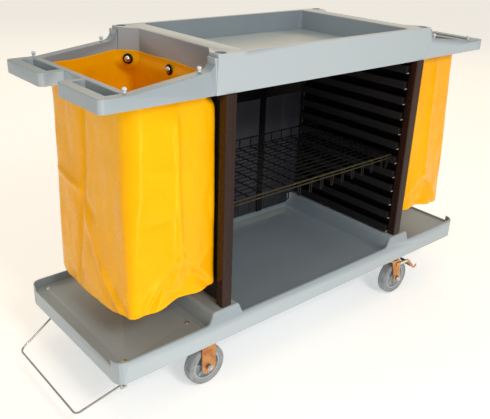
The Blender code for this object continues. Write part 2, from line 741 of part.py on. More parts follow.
def leg_channel(centre, top, width, shift):
    """Two legs and their bridge, an upturned U whose lower ends are rounded about the axle."""
    x, y, z = centre
    inner = WHEEL_W / 2 + 0.0035
    outer = inner + LEG_T
    foot = z - width * 0.42
    outline = [(y - outer, foot), (y - inner, foot), (y - inner, top - 0.004), (y + inner, top - 0.004),
               (y + inner, foot), (y + outer, foot), (y + outer, top), (y - outer, top)]
    bm = prism(outline, 0, x - width / 2, x + width / 2)
    round_edges(bm, width * 0.40, 4, lambda a, b: abs(a.z - foot) < 1e-6 and abs(b.z - foot) < 1e-6
                and abs(a.x - b.x) < 1e-6)
    for vertex in bm.verts:
        vertex.co.x += shift * (vertex.co.z - z) / (top - z)
    return bm


def axle_hole(centre):
    profile = [(0, -0.05), (AXLE_R + GAP, -0.05), (AXLE_R + GAP, 0.05), (0, 0.05)]
    return turned(profile, centre, 1, 16)


def build_axle(materials, prefix, centre, parent, side):
    """The axle bolt, with its nut on the outer side of the cart."""
    bm = turned([(radius, side * height) for radius, height in axle_profile()], centre, 1, 12)
    add_object(f"{prefix}_axle", bm, materials["bright_steel"], origin=centre, parent=parent, smooth=True)


def build_fixed_caster(cart, materials, side, prefix, bolt_cutter):
    x, y = FIXED_AT[0], side * FIXED_AT[1]
    centre = (x, y, WHEEL_R)
    top = FIXED_TOP - GAP
    bm = leg_channel(centre, top - 0.001, 0.050, 0.0)
    bracket = add_object(f"{prefix}_bracket", bm, materials["zinc_steel"], parent=cart)
    plate = rounded_box((x - 0.050, y - PAD_HALF[1], top - PLATE_T), (x + 0.050, y + PAD_HALF[1], top), 0.006, 2)
    combine(bracket, add_cutter(f"{prefix}_plate", plate, cart), "UNION")
    combine(bracket, add_cutter(f"{prefix}_axle_hole", axle_hole(centre), cart), "DIFFERENCE")
    combine(bracket, bolt_cutter, "DIFFERENCE")
    build_axle(materials, prefix, centre, cart, side)
    build_wheel(cart, materials, prefix, centre)


def build_swivel_caster(cart, materials, side, prefix):
    x, y = SWIVEL_AT[0], side * SWIVEL_AT[1]
    top = BASE_Z - GAP
    race, crown = top - PLATE_T - 0.007, top - PLATE_T - 0.007 - GAP
    centre = (x + TRAIL, y, WHEEL_R)
    pin_r = 0.0055

    bm = rounded_box((x - 0.044, y - 0.026, top - PLATE_T), (x + 0.044, y + 0.026, top), 0.006, 2)
    plate = add_object(f"{prefix}_top_plate", bm, materials["zinc_steel"], parent=cart)
    ring = turned([(0, race), (0.024, race), (0.0255, race + 0.0015), (0.0255, top - 0.001), (0, top - 0.001)],
                  (x, y, 0), 2, 16)
    combine(plate, add_cutter(f"{prefix}_race", ring, cart), "UNION")
    hole = turned([(0, 0.1), (pin_r + GAP, 0.1), (pin_r + GAP, 0.2), (0, 0.2)], (x, y, 0), 2, 16)
    pin_hole = add_cutter(f"{prefix}_pin_hole", hole, cart)
    combine(plate, pin_hole, "DIFFERENCE")

    swivel = add_empty(f"{prefix}_swivel", (x, y, crown), cart)
    bm = leg_channel(centre, crown - 0.003, 0.040, -TRAIL + 0.006)
    fork = add_object(f"{prefix}_fork", bm, materials["zinc_steel"], origin=(x, y, crown), parent=swivel)
    disc = turned([(0, crown - 0.006), (0.028, crown - 0.006), (0.030, crown - 0.004), (0.030, crown - 0.001),
                   (0.029, crown), (0, crown)], (x, y, 0), 2, 16)
    combine(fork, add_cutter(f"{prefix}_crown", disc, cart), "UNION")
    combine(fork, add_cutter(f"{prefix}_axle_hole", axle_hole(centre), cart), "DIFFERENCE")
    combine(fork, pin_hole, "DIFFERENCE")

    low = crown - 0.0105
    pin = [(0, low), (0.009, low), (0.010, low + 0.001), (0.010, low + 0.0035), (pin_r, low + 0.0035),
           (pin_r, top - 0.001), (0, top - 0.001)]
    add_object(f"{prefix}_kingpin", turned(pin, (x, y, 0), 2, 14), materials["bright_steel"],
               parent=cart, smooth=True)

    build_axle(materials, prefix, centre, swivel, side)
    build_wheel(swivel, materials, prefix, centre)
    build_brake(cart, swivel, materials, prefix, centre)


def build_brake(cart, swivel, materials, prefix, centre):
    """A stamped pedal beside the fork's outer leg, sloping down to a turned-up toe."""
    x, y, z = centre
    side = math.copysign(1.0, y)
    hinge = (x - 0.008, y, z + 0.062)
    near_face = WHEEL_W / 2 + 0.0035 + LEG_T + GAP
    outline = [(-0.007, -0.007), (-0.007, 0.007), (0.058, 0.005), (0.072, -0.006), (0.103, -0.041),
               (0.111, -0.043), (0.118, -0.036), (0.122, -0.040), (0.114, -0.051), (0.100, -0.050),
               (0.066, -0.014), (0.052, -0.007)]
    faces = sorted((y + side * near_face, y + side * (near_face + 0.0030)))
    bm = prism([(hinge[0] + a, hinge[2] + b) for a, b in outline], 1, *faces)
    pedal = add_object(f"{prefix}_brake_pedal", bm, materials["zinc_steel"], origin=hinge, parent=swivel)
    tread = [(0.080, -0.0175), (0.101, -0.0400), (0.098, -0.0428), (0.077, -0.0203)]
    faces = sorted((y - side * 0.018, y + side * (near_face + 0.001)))
    bar = prism([(hinge[0] + a, hinge[2] + b) for a, b in tread], 1, *faces)
    combine(pedal, add_cutter(f"{prefix}_brake_tread", bar, cart), "UNION")


# ---------------------------------------------------------------- bail and floor bolts

def arc_corner(before, at, after, radius, steps=3):
    """Points that round the corner `at` of a polyline."""
    start = at + (before - at).normalized() * radius
    end = at + (after - at).normalized() * radius
    points = []
    for step in range(steps + 1):
        share = step / steps
        points.append(start.lerp(at, share).lerp(at.lerp(end, share), share))
    return points


def build_bail(cart, materials):
    x, y, z = BAIL_PIVOT
    bar_x, bar_y, bar_z = BAIL_BAR
    route = [Vector((x, y + 0.012, z)), Vector((x, y, z)), Vector((bar_x, bar_y, bar_z)),
             Vector((bar_x, -bar_y, bar_z)), Vector((x, -y, z)), Vector((x, -y - 0.012, z))]
    points = [route[0]]
    for before, at, after, radius in zip(route, route[1:], route[2:], (0.006, 0.014, 0.014, 0.006)):
        points += arc_corner(before, at, after, radius)
    points.append(route[-1])
    bm = swept(points, BAIL_R, 8)
    add_object("bail", bm, materials["bail_steel"], origin=(x, 0.0, z), parent=cart, smooth=True)


def swept(points, radius, sides):
    """A round bar along a polyline, with a ring of points square to the bisector at each bend."""
    sections = []
    across = Vector((0.0, 0.0, 1.0))
    for index, point in enumerate(points):
        before = points[max(index - 1, 0)]
        after = points[min(index + 1, len(points) - 1)]
        along = (after - before).normalized()
        side = along.cross(across).normalized()
        other = side.cross(along).normalized()
        ring = []
        for step in range(sides):
            angle = 2 * math.pi * step / sides
            ring.append(point + (side * math.cos(angle) + other * math.sin(angle)) * radius)
        sections.append(ring)
    return loft(sections)


def build_bail_mounts(cart, materials, bolt_cutter):
    """Angle brackets bolted up under the base floor, which carry the bail's pins."""
    x, y, z = BAIL_PIVOT
    top = FLOOR_Z - SKIN - GAP
    for side, face in ((-1, "front"), (1, "back")):
        inner, outer = y + 0.0045, y + 0.0075
        outline = [(side * inner, z - 0.009), (side * outer, z - 0.009), (side * outer, top - 0.003),
                   (side * (outer + 0.028), top - 0.003), (side * (outer + 0.028), top), (side * inner, top)]
        bm = prism(outline, 0, x - 0.010, x + 0.010)
        bracket = add_object(f"bail_bracket_{face}", bm, materials["zinc_steel"], parent=cart)
        hole = turned([(0, -0.05), (BAIL_R + GAP, -0.05), (BAIL_R + GAP, 0.05), (0, 0.05)],
                      (x, side * y, z), 1, 12)
        combine(bracket, add_cutter(f"bail_pin_hole_{face}", hole, cart), "DIFFERENCE")
        combine(bracket, bolt_cutter, "DIFFERENCE")


def build_floor_bolts(cart, materials):
    for name, (x, y) in floor_bolt_places().items():
        top = FLOOR_Z + GAP
        low = FLOOR_Z - SKIN - 0.003 - 2 * GAP if name.startswith("bail") else FIXED_TOP - PLATE_T - 2 * GAP
        profile = [(0, top + 0.0045), (0.005, top + 0.0038), (0.0085, top + 0.0015), (0.009, top),
                   (0.004, top), (0.004, low), (0.0075, low), (0.0075, low - 0.006), (0, low - 0.006)]
        add_object(name, turned(profile, (x, y, 0), 2, 12), materials["bright_steel"],
                   parent=cart, smooth=True)


def build_cart():
    clear_scene()
    materials = make_materials()
    cart = add_empty("cart", (CART_SHIFT, 0.0, 0.0), None)
    bolt_cutter = build_base(cart, materials)
    build_deck(cart, materials)
    for side, end_name in ((-1, "left"), (1, "right")):
        build_bag_frame(cart, materials, side, f"bag_frame_{end_name}")
        build_side_panel(cart, materials, side, f"side_panel_{end_name}")
        build_bag(cart, materials, side, f"bag_{end_name}")
        build_studs(cart, materials, side, end_name)
        build_pegs(cart, materials, side, end_name)
    build_posts(cart, materials)
    build_back(cart, materials)
    build_shelf(cart, materials)
    for side, face in ((-1, "front"), (1, "back")):
        build_fixed_caster(cart, materials, side, f"fixed_caster_{face}", bolt_cutter)
        build_swivel_caster(cart, materials, side, f"swivel_caster_{face}")
    build_bail(cart, materials)
    build_bail_mounts(cart, materials, bolt_cutter)
    build_floor_bolts(cart, materials)


build_cart()
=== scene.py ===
"""Looks of the housekeeping cart: moulded plastic, hung vinyl bags, round wire, casters and a bail."""
import json
import math

import bmesh
import bpy
from mathutils import Matrix, Vector, noise

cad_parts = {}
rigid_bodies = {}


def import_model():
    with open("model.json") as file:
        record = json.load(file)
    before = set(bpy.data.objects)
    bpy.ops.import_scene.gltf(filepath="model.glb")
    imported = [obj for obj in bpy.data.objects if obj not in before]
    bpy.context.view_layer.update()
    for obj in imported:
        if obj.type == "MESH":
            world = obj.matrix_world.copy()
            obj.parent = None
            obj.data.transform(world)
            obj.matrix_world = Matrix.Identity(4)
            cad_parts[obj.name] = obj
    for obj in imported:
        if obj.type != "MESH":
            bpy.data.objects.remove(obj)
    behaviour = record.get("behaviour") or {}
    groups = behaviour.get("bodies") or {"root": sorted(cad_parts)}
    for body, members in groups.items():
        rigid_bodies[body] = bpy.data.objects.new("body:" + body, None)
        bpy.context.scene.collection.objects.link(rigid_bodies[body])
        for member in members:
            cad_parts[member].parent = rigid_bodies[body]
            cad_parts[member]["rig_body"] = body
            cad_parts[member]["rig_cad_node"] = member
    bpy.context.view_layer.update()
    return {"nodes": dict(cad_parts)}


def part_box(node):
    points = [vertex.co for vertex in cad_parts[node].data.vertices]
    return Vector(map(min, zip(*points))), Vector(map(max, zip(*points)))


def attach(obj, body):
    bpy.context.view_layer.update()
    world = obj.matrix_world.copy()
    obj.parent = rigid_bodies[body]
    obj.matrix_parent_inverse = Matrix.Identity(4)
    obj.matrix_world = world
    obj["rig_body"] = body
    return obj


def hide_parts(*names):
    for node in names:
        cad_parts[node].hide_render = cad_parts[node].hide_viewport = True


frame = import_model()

# ---------------------------------------------------------------- places, all read from the frame

base_low, base_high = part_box("base_platform")
MIDDLE_X = (base_low.x + base_high.x) / 2
BASE_Z = base_low.z
ENDS = (("left", -1), ("right", 1))
FACES = (("front", -1), ("back", 1))

# Photograph's camera, from the middle of the cart on the floor
CAMERA_AT = Vector((-1.41275, -1.494445, 1.29749))
CAMERA_YAW, CAMERA_PITCH, CAMERA_ROLL = -0.71766, -0.42460, 0.03675
CAMERA_LENS = 47.91


# ---------------------------------------------------------------- node helpers

class Finish:
    """A Principled material and short calls that add nodes to it."""

    def __init__(self, name, colour, roughness, metallic=0.0, **sockets):
        self.material = bpy.data.materials.new(name)
        self.material.use_nodes = True
        self.tree = self.material.node_tree
        self.shader = self.tree.nodes["Principled BSDF"]
        self.shader.inputs["Base Color"].default_value = (*colour, 1.0)
        self.shader.inputs["Roughness"].default_value = roughness
        self.shader.inputs["Metallic"].default_value = metallic
        for socket, value in sockets.items():
            self.shader.inputs[socket.replace("_", " ")].default_value = value
        self.coords = self.add("ShaderNodeTexCoord").outputs["Object"]
        self.normal = None

    def add(self, kind, **values):
        node = self.tree.nodes.new(kind)
        for name, value in values.items():
            setattr(node, name, value)
        return node

    def link(self, source, target):
        self.tree.links.new(source, target)

    def stretched(self, scale):
        node = self.add("ShaderNodeMapping")
        node.inputs["Scale"].default_value = scale
        self.link(self.coords, node.inputs["Vector"])
        return node.outputs["Vector"]

    def noise(self, scale, detail=3.0, roughness=0.55, stretch=None, distortion=0.0):
        node = self.add("ShaderNodeTexNoise")
        node.inputs["Scale"].default_value = scale
        node.inputs["Detail"].default_value = detail
        node.inputs["Roughness"].default_value = roughness
        node.inputs["Distortion"].default_value = distortion
        self.link(self.stretched(stretch) if stretch else self.coords, node.inputs["Vector"])
        return node.outputs["Fac"]

    def span(self, value, low, high, to_low=0.0, to_high=1.0):
        node = self.add("ShaderNodeMapRange")
        node.inputs["From Min"].default_value = low
        node.inputs["From Max"].default_value = high
        node.inputs["To Min"].default_value = to_low
        node.inputs["To Max"].default_value = to_high
        self.link(value, node.inputs["Value"])
        return node.outputs["Result"]

    def maths(self, kind, first, second):
        node = self.add("ShaderNodeMath", operation=kind)
        for socket, value in zip(node.inputs, (first, second)):
            if isinstance(value, (int, float)):
                socket.default_value = value
            else:
                self.link(value, socket)
        return node.outputs["Value"]

    def mix(self, amount, first, second):
        """Mixes two colours, each a tuple or a socket, by a socket."""
        node = self.add("ShaderNodeMix", data_type="RGBA")
        self.link(amount, node.inputs["Factor"])
        for name, value in (("A", first), ("B", second)):
            socket = [item for item in node.inputs if item.name == name and item.type == "RGBA"][0]
            if isinstance(value, tuple):
                socket.default_value = (*value, 1.0)
            else:
                self.link(value, socket)
        return [item for item in node.outputs if item.type == "RGBA"][0]

    def edges(self, low, high):
        """0 on flat faces and 1 along convex edges."""
        return self.span(self.add("ShaderNodeNewGeometry").outputs["Pointiness"], low, high)

    def along(self, axis):
        node = self.add("ShaderNodeSeparateXYZ")
        self.link(self.coords, node.inputs["Vector"])
        return node.outputs[axis]

    def colour(self, socket):
        self.link(socket, self.shader.inputs["Base Color"])

    def rough(self, socket):
        self.link(socket, self.shader.inputs["Roughness"])

    def bump(self, height, distance, strength=1.0):
        node = self.add("ShaderNodeBump")
        node.inputs["Distance"].default_value = distance
        node.inputs["Strength"].default_value = strength
        self.link(height, node.inputs["Height"])
        if self.normal:
            self.link(self.normal, node.inputs["Normal"])
        self.normal = node.outputs["Normal"]
        self.link(self.normal, self.shader.inputs["Normal"])


# ---------------------------------------------------------------- materials

def moulded_plastic(name, colour, dark, light, roughness, grain=1.0):
    """Injection-moulded plastic: fine spark texture, faint flow marks, scuffs and paler edges."""
    finish = Finish(name, colour, roughness, IOR=1.48)
    broad = finish.noise(2.6, 4.0)
    speckle = finish.noise(260.0, 2.0)
    shade = finish.mix(finish.span(broad, 0.36, 0.66), dark, colour)
    shade = finish.mix(finish.span(speckle, 0.60, 0.78, 0.0, 0.35), shade, light)
    scuffs = finish.noise(16.0, 5.0, 0.7, stretch=(1.0, 1.0, 4.0), distortion=0.6)
    shade = finish.mix(finish.span(scuffs, 0.66, 0.80, 0.0, 0.30), shade, dark)
    shade = finish.mix(finish.edges(0.512, 0.565), shade, light)
    finish.colour(shade)
    smudges = finish.noise(5.0, 6.0, 0.62)
    finish.rough(finish.span(smudges, 0.30, 0.72, roughness - 0.07, roughness + 0.10))
    finish.bump(finish.noise(9.0, 2.0), 0.0012, 0.5)
    finish.bump(finish.noise(1400.0, 2.0), 0.00010 * grain, 0.8)
    return finish.material


def post_plastic():
    """Dark brown, glossy, with faint lengthwise flow lines."""
    finish = Finish("post_brown", (0.030, 0.010, 0.006), 0.24, IOR=1.45, Specular_IOR_Level=0.24)
    lines = finish.noise(30.0, 4.0, 0.6, stretch=(1.0, 1.0, 0.04))
    finish.colour(finish.mix(finish.span(lines, 0.35, 0.7), (0.016, 0.006, 0.004), (0.042, 0.016, 0.009)))
    finish.rough(finish.span(finish.noise(24.0, 4.0), 0.3, 0.7, 0.18, 0.34))
    finish.bump(lines, 0.0003, 0.35)
    finish.bump(finish.noise(700.0, 2.0), 0.00008, 0.5)
    return finish.material


def black_plastic():
    finish = Finish("cabinet_black", (0.0025, 0.0024, 0.0026), 0.42, IOR=1.45, Specular_IOR_Level=0.08)
    dust = finish.noise(7.0, 6.0, 0.65)
    shade = finish.mix(finish.span(dust, 0.45, 0.75), (0.0020, 0.0018, 0.0020), (0.0055, 0.0050, 0.0052))
    finish.colour(finish.mix(finish.edges(0.52, 0.58), shade, (0.030, 0.028, 0.028)))
    finish.rough(finish.span(dust, 0.3, 0.7, 0.26, 0.46))
    finish.bump(finish.noise(900.0, 2.0), 0.00012, 0.7)
    return finish.material


def slate_plastic():
    finish = Finish("back_slate", (0.035, 0.036, 0.046), 0.38, IOR=1.5)
    broad = finish.noise(4.0, 5.0, 0.6)
    streaks = finish.noise(18.0, 3.0, 0.6, stretch=(1.0, 1.0, 0.08))
    shade = finish.mix(finish.span(broad, 0.35, 0.7), (0.024, 0.024, 0.031), (0.052, 0.053, 0.068))
    finish.colour(finish.mix(finish.span(streaks, 0.55, 0.75, 0.0, 0.5), shade, (0.075, 0.075, 0.09)))
    finish.rough(finish.span(broad, 0.3, 0.7, 0.30, 0.48))
    finish.bump(finish.noise(800.0, 2.0), 0.00012, 0.7)
    return finish.material


def bag_vinyl():
    """Coated fabric: a woven backing that just shows through a soft, glossy yellow skin."""
    finish = Finish("bag_vinyl", (1.0, 0.45, 0.0), 0.27, IOR=1.40, Specular_IOR_Level=0.55,
                    Specular_Tint=(1.0, 0.70, 0.16, 1.0))
    broad = finish.noise(3.2, 4.0)
    shade = finish.mix(finish.span(broad, 0.34, 0.68), (0.95, 0.405, 0.0), (1.0, 0.475, 0.001))
    soil = finish.noise(11.0, 6.0, 0.68)
    shade = finish.mix(finish.span(soil, 0.60, 0.82, 0.0, 0.35), shade, (0.80, 0.30, 0.001))
    shade = finish.mix(finish.edges(0.53, 0.60), shade, (1.0, 0.52, 0.02))
    finish.colour(shade)
    finish.rough(finish.span(finish.noise(26.0, 4.0), 0.3, 0.7, 0.20, 0.34))
    finish.bump(finish.noise(14.0, 3.0, 0.5, distortion=0.4), 0.0035, 0.35)
    finish.bump(finish.noise(60.0, 3.0, 0.6), 0.0003, 0.35)
    weave = []
    for axis in ("X", "Y", "Z"):
        node = finish.add("ShaderNodeTexWave", wave_type="BANDS", bands_direction=axis)
        node.inputs["Scale"].default_value = 220.0
        finish.link(finish.coords, node.inputs["Vector"])
        weave.append(node.outputs["Fac"])
    crossed = finish.maths("MULTIPLY", finish.maths("ADD", weave[0], weave[1]), weave[2])
    finish.bump(crossed, 0.00003, 0.5)
    return finish.material


def wire_coating(name, colour, light):
    finish = Finish(name, colour, 0.28, IOR=1.5, Specular_IOR_Level=0.12)
    patches = finish.noise(70.0, 4.0)
    finish.colour(finish.mix(finish.span(patches, 0.55, 0.75), colour, light))
    finish.rough(finish.span(patches, 0.3, 0.7, 0.20, 0.36))
    finish.bump(finish.noise(500.0, 2.0), 0.00008, 0.6)
    return finish.material


def zinc_steel():
    """Yellow zinc plate: gold, copper and a little rose in drifting patches, with fine draw marks."""
    finish = Finish("zinc_steel", (0.52, 0.21, 0.07), 0.30, 1.0)
    drift = finish.noise(34.0, 4.0, 0.6, distortion=0.8)
    tint = finish.mix(finish.span(drift, 0.30, 0.62), (0.44, 0.15, 0.045), (0.62, 0.30, 0.10))
    rose = finish.noise(52.0, 3.0)
    tint = finish.mix(finish.span(rose, 0.55, 0.75, 0.0, 0.7), tint, (0.55, 0.22, 0.17))
    finish.colour(finish.mix(finish.edges(0.52, 0.60), tint, (0.78, 0.52, 0.30)))
    finish.rough(finish.span(finish.noise(90.0, 3.0), 0.3, 0.7, 0.22, 0.42))
    finish.bump(finish.noise(240.0, 3.0, 0.6, stretch=(1.0, 1.0, 0.15)), 0.00012, 0.6)
    return finish.material


def bright_steel(name, colour, roughness):
    finish = Finish(name, colour, roughness, 1.0)
    dull = finish.noise(110.0, 4.0)
    low = tuple(value * 0.72 for value in colour)
    finish.colour(finish.mix(finish.span(dull, 0.40, 0.72), colour, low))
    finish.rough(finish.span(dull, 0.3, 0.7, roughness - 0.08, roughness + 0.12))
    finish.bump(finish.noise(420.0, 3.0), 0.00006, 0.6)
    return finish.material


def grey_rubber():
    finish = Finish("tyre_grey", (0.26, 0.28, 0.295), 0.50, IOR=1.5)
    dirt = finish.noise(38.0, 6.0, 0.7)
    shade = finish.mix(finish.span(dirt, 0.42, 0.70), (0.275, 0.295, 0.31), (0.150, 0.155, 0.158))
    finish.colour(finish.mix(finish.edges(0.51, 0.56), shade, (0.33, 0.34, 0.345)))
    finish.rough(finish.span(dirt, 0.3, 0.7, 0.46, 0.74))
    finish.bump(finish.noise(300.0, 4.0, 0.65), 0.0003, 0.6)
    return finish.material


def floor_finish():
    """Pale studio floor, lit a little from within like a light table."""
    finish = Finish("studio_floor", (0.90, 0.90, 0.90), 0.85)
    finish.colour(finish.mix(finish.noise(0.8, 4.0), (0.885, 0.885, 0.885), (0.915, 0.915, 0.915)))
    finish.bump(finish.noise(140.0, 3.0), 0.0002, 0.3)
    finish.shader.inputs["Emission Color"].default_value = (1.0, 1.0, 1.0, 1.0)
    finish.shader.inputs["Emission Strength"].default_value = 0.38
    return finish.material


def stud_finish():
    """Bright domed nut: polished steel that is dull in small patches."""
    finish = Finish("stud_steel", (0.72, 0.72, 0.70), 0.24, 1.0)
    dull = finish.noise(220.0, 4.0)
    finish.colour(finish.mix(finish.span(dull, 0.4, 0.7), (0.78, 0.78, 0.76), (0.50, 0.49, 0.47)))
    finish.bump(finish.noise(600.0, 2.0), 0.00005, 0.5)
    return finish.material


PLASTIC = moulded_plastic("cart_grey", (0.285, 0.342, 0.388), (0.256, 0.308, 0.350),
                          (0.42, 0.48, 0.52), 0.36)
PEG = moulded_plastic("peg_pale", (0.52, 0.60, 0.65), (0.45, 0.53, 0.58),
                      (0.72, 0.78, 0.82), 0.30, 0.5)
HUB = moulded_plastic("hub_grey", (0.33, 0.37, 0.40), (0.25, 0.28, 0.30),
                      (0.48, 0.52, 0.55), 0.24, 0.4)
CREAM = moulded_plastic("brake_cream", (0.62, 0.56, 0.44), (0.50, 0.44, 0.33),
                        (0.80, 0.76, 0.66), 0.35, 0.5)
BROWN = post_plastic()
BLACK = black_plastic()
SLATE = slate_plastic()
VINYL = bag_vinyl()
WIRE = wire_coating("shelf_wire", (0.006, 0.0055, 0.0055), (0.016, 0.015, 0.014))
# the front wires' olive-gold tint is a painted golden glint on the black coated wire
FRONT_WIRE_GLINT = wire_coating("shelf_front_wire", (0.040, 0.034, 0.016), (0.110, 0.095, 0.050))
ZINC = zinc_steel()
STEEL = bright_steel("bolt_steel", (0.64, 0.69, 0.76), 0.30)
BAIL_STEEL = bright_steel("bail_steel", (0.50, 0.50, 0.495), 0.30)
RUBBER = grey_rubber()
STUD = stud_finish()
WASHER = wire_coating("washer_black", (0.012, 0.010, 0.009), (0.030, 0.028, 0.025))
TOE = wire_coating("pedal_black", (0.010, 0.010, 0.010), (0.030, 0.030, 0.030))


# ---------------------------------------------------------------- mesh helpers

def put(name, bm, material, body="cart", replaces=(), smooth=True):
    """Makes a piece from a bmesh, gives it a finish, and lets it ride on a body."""
    bmesh.ops.recalc_face_normals(bm, faces=bm.faces)
    mesh = bpy.data.meshes.new(name)
    bm.to_mesh(mesh)
    bm.free()
    mesh.materials.append(material)
    if smooth:
        mesh.shade_smooth()
    piece = bpy.data.objects.new(name, mesh)
    bpy.context.scene.collection.objects.link(piece)
    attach(piece, body)
    if replaces:
        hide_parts(*replaces)
    return piece


def crisp(piece, degrees=35.0):
    """Keeps hard edges hard on a smooth-shaded piece."""
    piece.data.set_sharp_from_angle(angle=math.radians(degrees))
    return piece


def rounded(piece, width, segments=2, degrees=32.0):
    """Rounds a piece's hard edges, and keeps its flat faces flat."""
    if piece.get("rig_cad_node"):                   # these come as split triangles
        weld = piece.modifiers.new("weld", "WELD")
        weld.merge_threshold = 0.00001
        flat = piece.modifiers.new("flat", "DECIMATE")
        flat.decimate_type = "DISSOLVE"
        flat.angle_limit = math.radians(0.4)
    bevel = piece.modifiers.new("round", "BEVEL")
    bevel.width = width
    bevel.segments = segments
    bevel.limit_method = "ANGLE"
    bevel.angle_limit = math.radians(degrees)
    bevel.harden_normals = True
    bevel.use_clamp_overlap = True
    even = piece.modifiers.new("even", "WEIGHTED_NORMAL")
    even.weight = 90
    even.keep_sharp = True
    return piece


def tube(bm, points, radius, sides=10, closed=False):
    """Adds a round bar along points, with its ends closed."""
    count = len(points)
    rings = []
    carry = None
    for index, point in enumerate(points):
        before = points[index - 1] if index or closed else points[0]
        after = points[(index + 1) % count] if index < count - 1 or closed else points[-1]
        along = (Vector(after) - Vector(before)).normalized()
        if carry is None:
            carry = along.orthogonal().normalized()
        side = (carry - along * carry.dot(along)).normalized()
        carry = side
        other = along.cross(side)
        ring = []
        for step in range(sides):
            angle = 2 * math.pi * step / sides
            offset = side * math.cos(angle) + other * math.sin(angle)
            ring.append(bm.verts.new(Vector(point) + offset * radius))
        rings.append(ring)
    pairs = list(zip(rings, rings[1:]))
    if closed:
        pairs.append((rings[-1], rings[0]))
    for first, second in pairs:
        for step in range(sides):
            nxt = (step + 1) % sides
            bm.faces.new((first[step], first[nxt], second[nxt], second[step]))
    if not closed:
        bm.faces.new(list(reversed(rings[0])))
        bm.faces.new(rings[-1])


def bend(points, radius, steps=5):
    """A polyline with its inner corners rounded."""
    smooth = [Vector(points[0])]
    for before, at, after in zip(points, points[1:], points[2:]):
        before, at, after = Vector(before), Vector(at), Vector(after)
        start = at + (before - at).normalized() * min(radius, (before - at).length * 0.45)
        end = at + (after - at).normalized() * min(radius, (after - at).length * 0.45)
        for step in range(steps + 1):
            share = step / steps
            smooth.append(start.lerp(at, share).lerp(at.lerp(end, share), share))
    smooth.append(Vector(points[-1]))
    return smooth


def turned(bm, profile, centre, axis, segments):
    """Adds a closed (radius, height) section turned about a world axis through centre."""
    turn = {"X": Matrix.Rotation(math.pi / 2, 4, "Y"), "Y": Matrix.Rotation(-math.pi / 2, 4, "X"),
            "Z": Matrix.Identity(4)}[axis]
    place = Matrix.Translation(centre) @ turn
    rings = []
    for radius, height in profile:
        ring = []
        for step in range(segments):
            angle = 2 * math.pi * step / segments
            point = Vector((radius * math.cos(angle), radius * math.sin(angle), height))
            ring.append(bm.verts.new(place @ point))
        rings.append(ring)
    for first, second in zip(rings, rings[1:] + rings[:1]):
        for step in range(segments):
            nxt = (step + 1) % segments
            bm.faces.new((first[step], first[nxt], second[nxt], second[step]))


def smoothstep(value):
    value = min(max(value, 0.0), 1.0)
    return value * value * (3.0 - 2.0 * value)


# ---------------------------------------------------------------- vinyl bags

BAG_FACE, BAG_END, BAG_CORNER = 36, 56, 7      # points along a bag's faces, its ends and each corner
BAG_LEVELS = 72
BAG_FLOOR_RINGS = 12
BAG_HEM = 0.022                  # height of the doubled rim
HEM_T = 0.0012
VINYL_T = 0.0011
CAD_SWELL = (0.016, 0.0064)      # how far the CAD bag swells past its mouth, along X and to each side
SWELL = (0.014, 0.004)
RIM_REACH = 0.0065               # the rim lies this much closer to the recess's wall than the bag below
RIM_FALL = 0.017                 # from the cabinet side to the outer bar
CORNER_TOP, CORNER_BOTTOM = 0.052, 0.018       # radius of the outer corners
SLANT_TOP = (0.0455, 0.0551)     # the inner corners beside the deck's recess, along X and Y
SLANT_LOW = (0.0235, 0.0251)
BACK_TAPER = 0.043
APEX = 0.72                      # where the middle fold of a face splits in two, as a share of the depth
EDGE_BAND = 0.030                # a face's folds fade out over this much beside a corner

# Folds as (start, end, half width in metres, height in metres). Points are (across, down): across is a
# share of half the face, towards the end of the cart or the front, and down a share of the bag's depth.
FACE_FOLDS = (
    ((0.0, APEX), (0.93, 0.985), 0.012, 0.0095),
    ((0.0, APEX), (-0.90, 0.985), 0.011, 0.0085),
    ((0.045, 0.784), (0.20, 0.98), 0.012, 0.0100),
    ((0.10, 0.80), (0.62, 1.0), 0.018, -0.0075),
    ((0.038, 0.33), (0.62, 0.325), 0.008, 0.0038),
    ((0.075, 0.535), (0.95, 0.555), 0.010, -0.0040),
    ((-0.10, 0.20), (-0.62, 0.02), 0.020, -0.0030),
    ((-0.30, 0.86), (-0.86, 0.74), 0.014, 0.0028),
)
END_FOLDS = (
    ((0.0, 0.048), (0.055, 0.46), 0.011, -0.0090),
    ((0.091, 0.50), (0.273, 0.97), 0.014, -0.0090),
    ((0.86, 0.455), (0.12, 0.50), 0.010, 0.0090),
    ((0.12, 0.50), (-0.20, 0.60), 0.014, -0.0070),
    ((0.10, 0.52), (-0.42, 0.88), 0.026, 0.0085),
    ((-0.05, 0.70), (-0.55, 0.96), 0.018, -0.0080),
    ((-0.36, 0.80), (-0.78, 0.985), 0.012, 0.0090),
    ((-0.58, 0.86), (-0.90, 0.99), 0.009, -0.0070),
)


def fold(x, z, start, end, width, height, sharp=1.0):
    """Height at (x, z) of a straight fold between two points, which fades out past both of them."""
    direction = end - start
    length = direction.length
    direction /= length
    offset = Vector((x, z)) - start
    along = offset.dot(direction) / length
    across = direction.x * offset.y - direction.y * offset.x
    fade = smoothstep((along + 0.15) / 0.3) * smoothstep((1.15 - along) / 0.3)
    return height * fade * math.exp(-(abs(across) / width) ** sharp)


def folds_height(x, z, half, depth, folds):
    """Sum of a face's folds at x across it and z below the rim."""
    total = 0.0
    for start, end, width, height in folds:
        points = [Vector((share[0] * half, share[1] * depth)) for share in (start, end)]
        total += fold(x, z, *points, width, height)
    return total


def ripple(x, z, seed, coarse, fine, height):
    """Soft irregular waves, as left by handling, with smaller ones on them."""
    waves = height * noise.noise(Vector((x * coarse[0], z * coarse[1], seed)))
    return waves + 0.0020 * noise.noise(Vector((x * fine[0], z * fine[1], seed)))


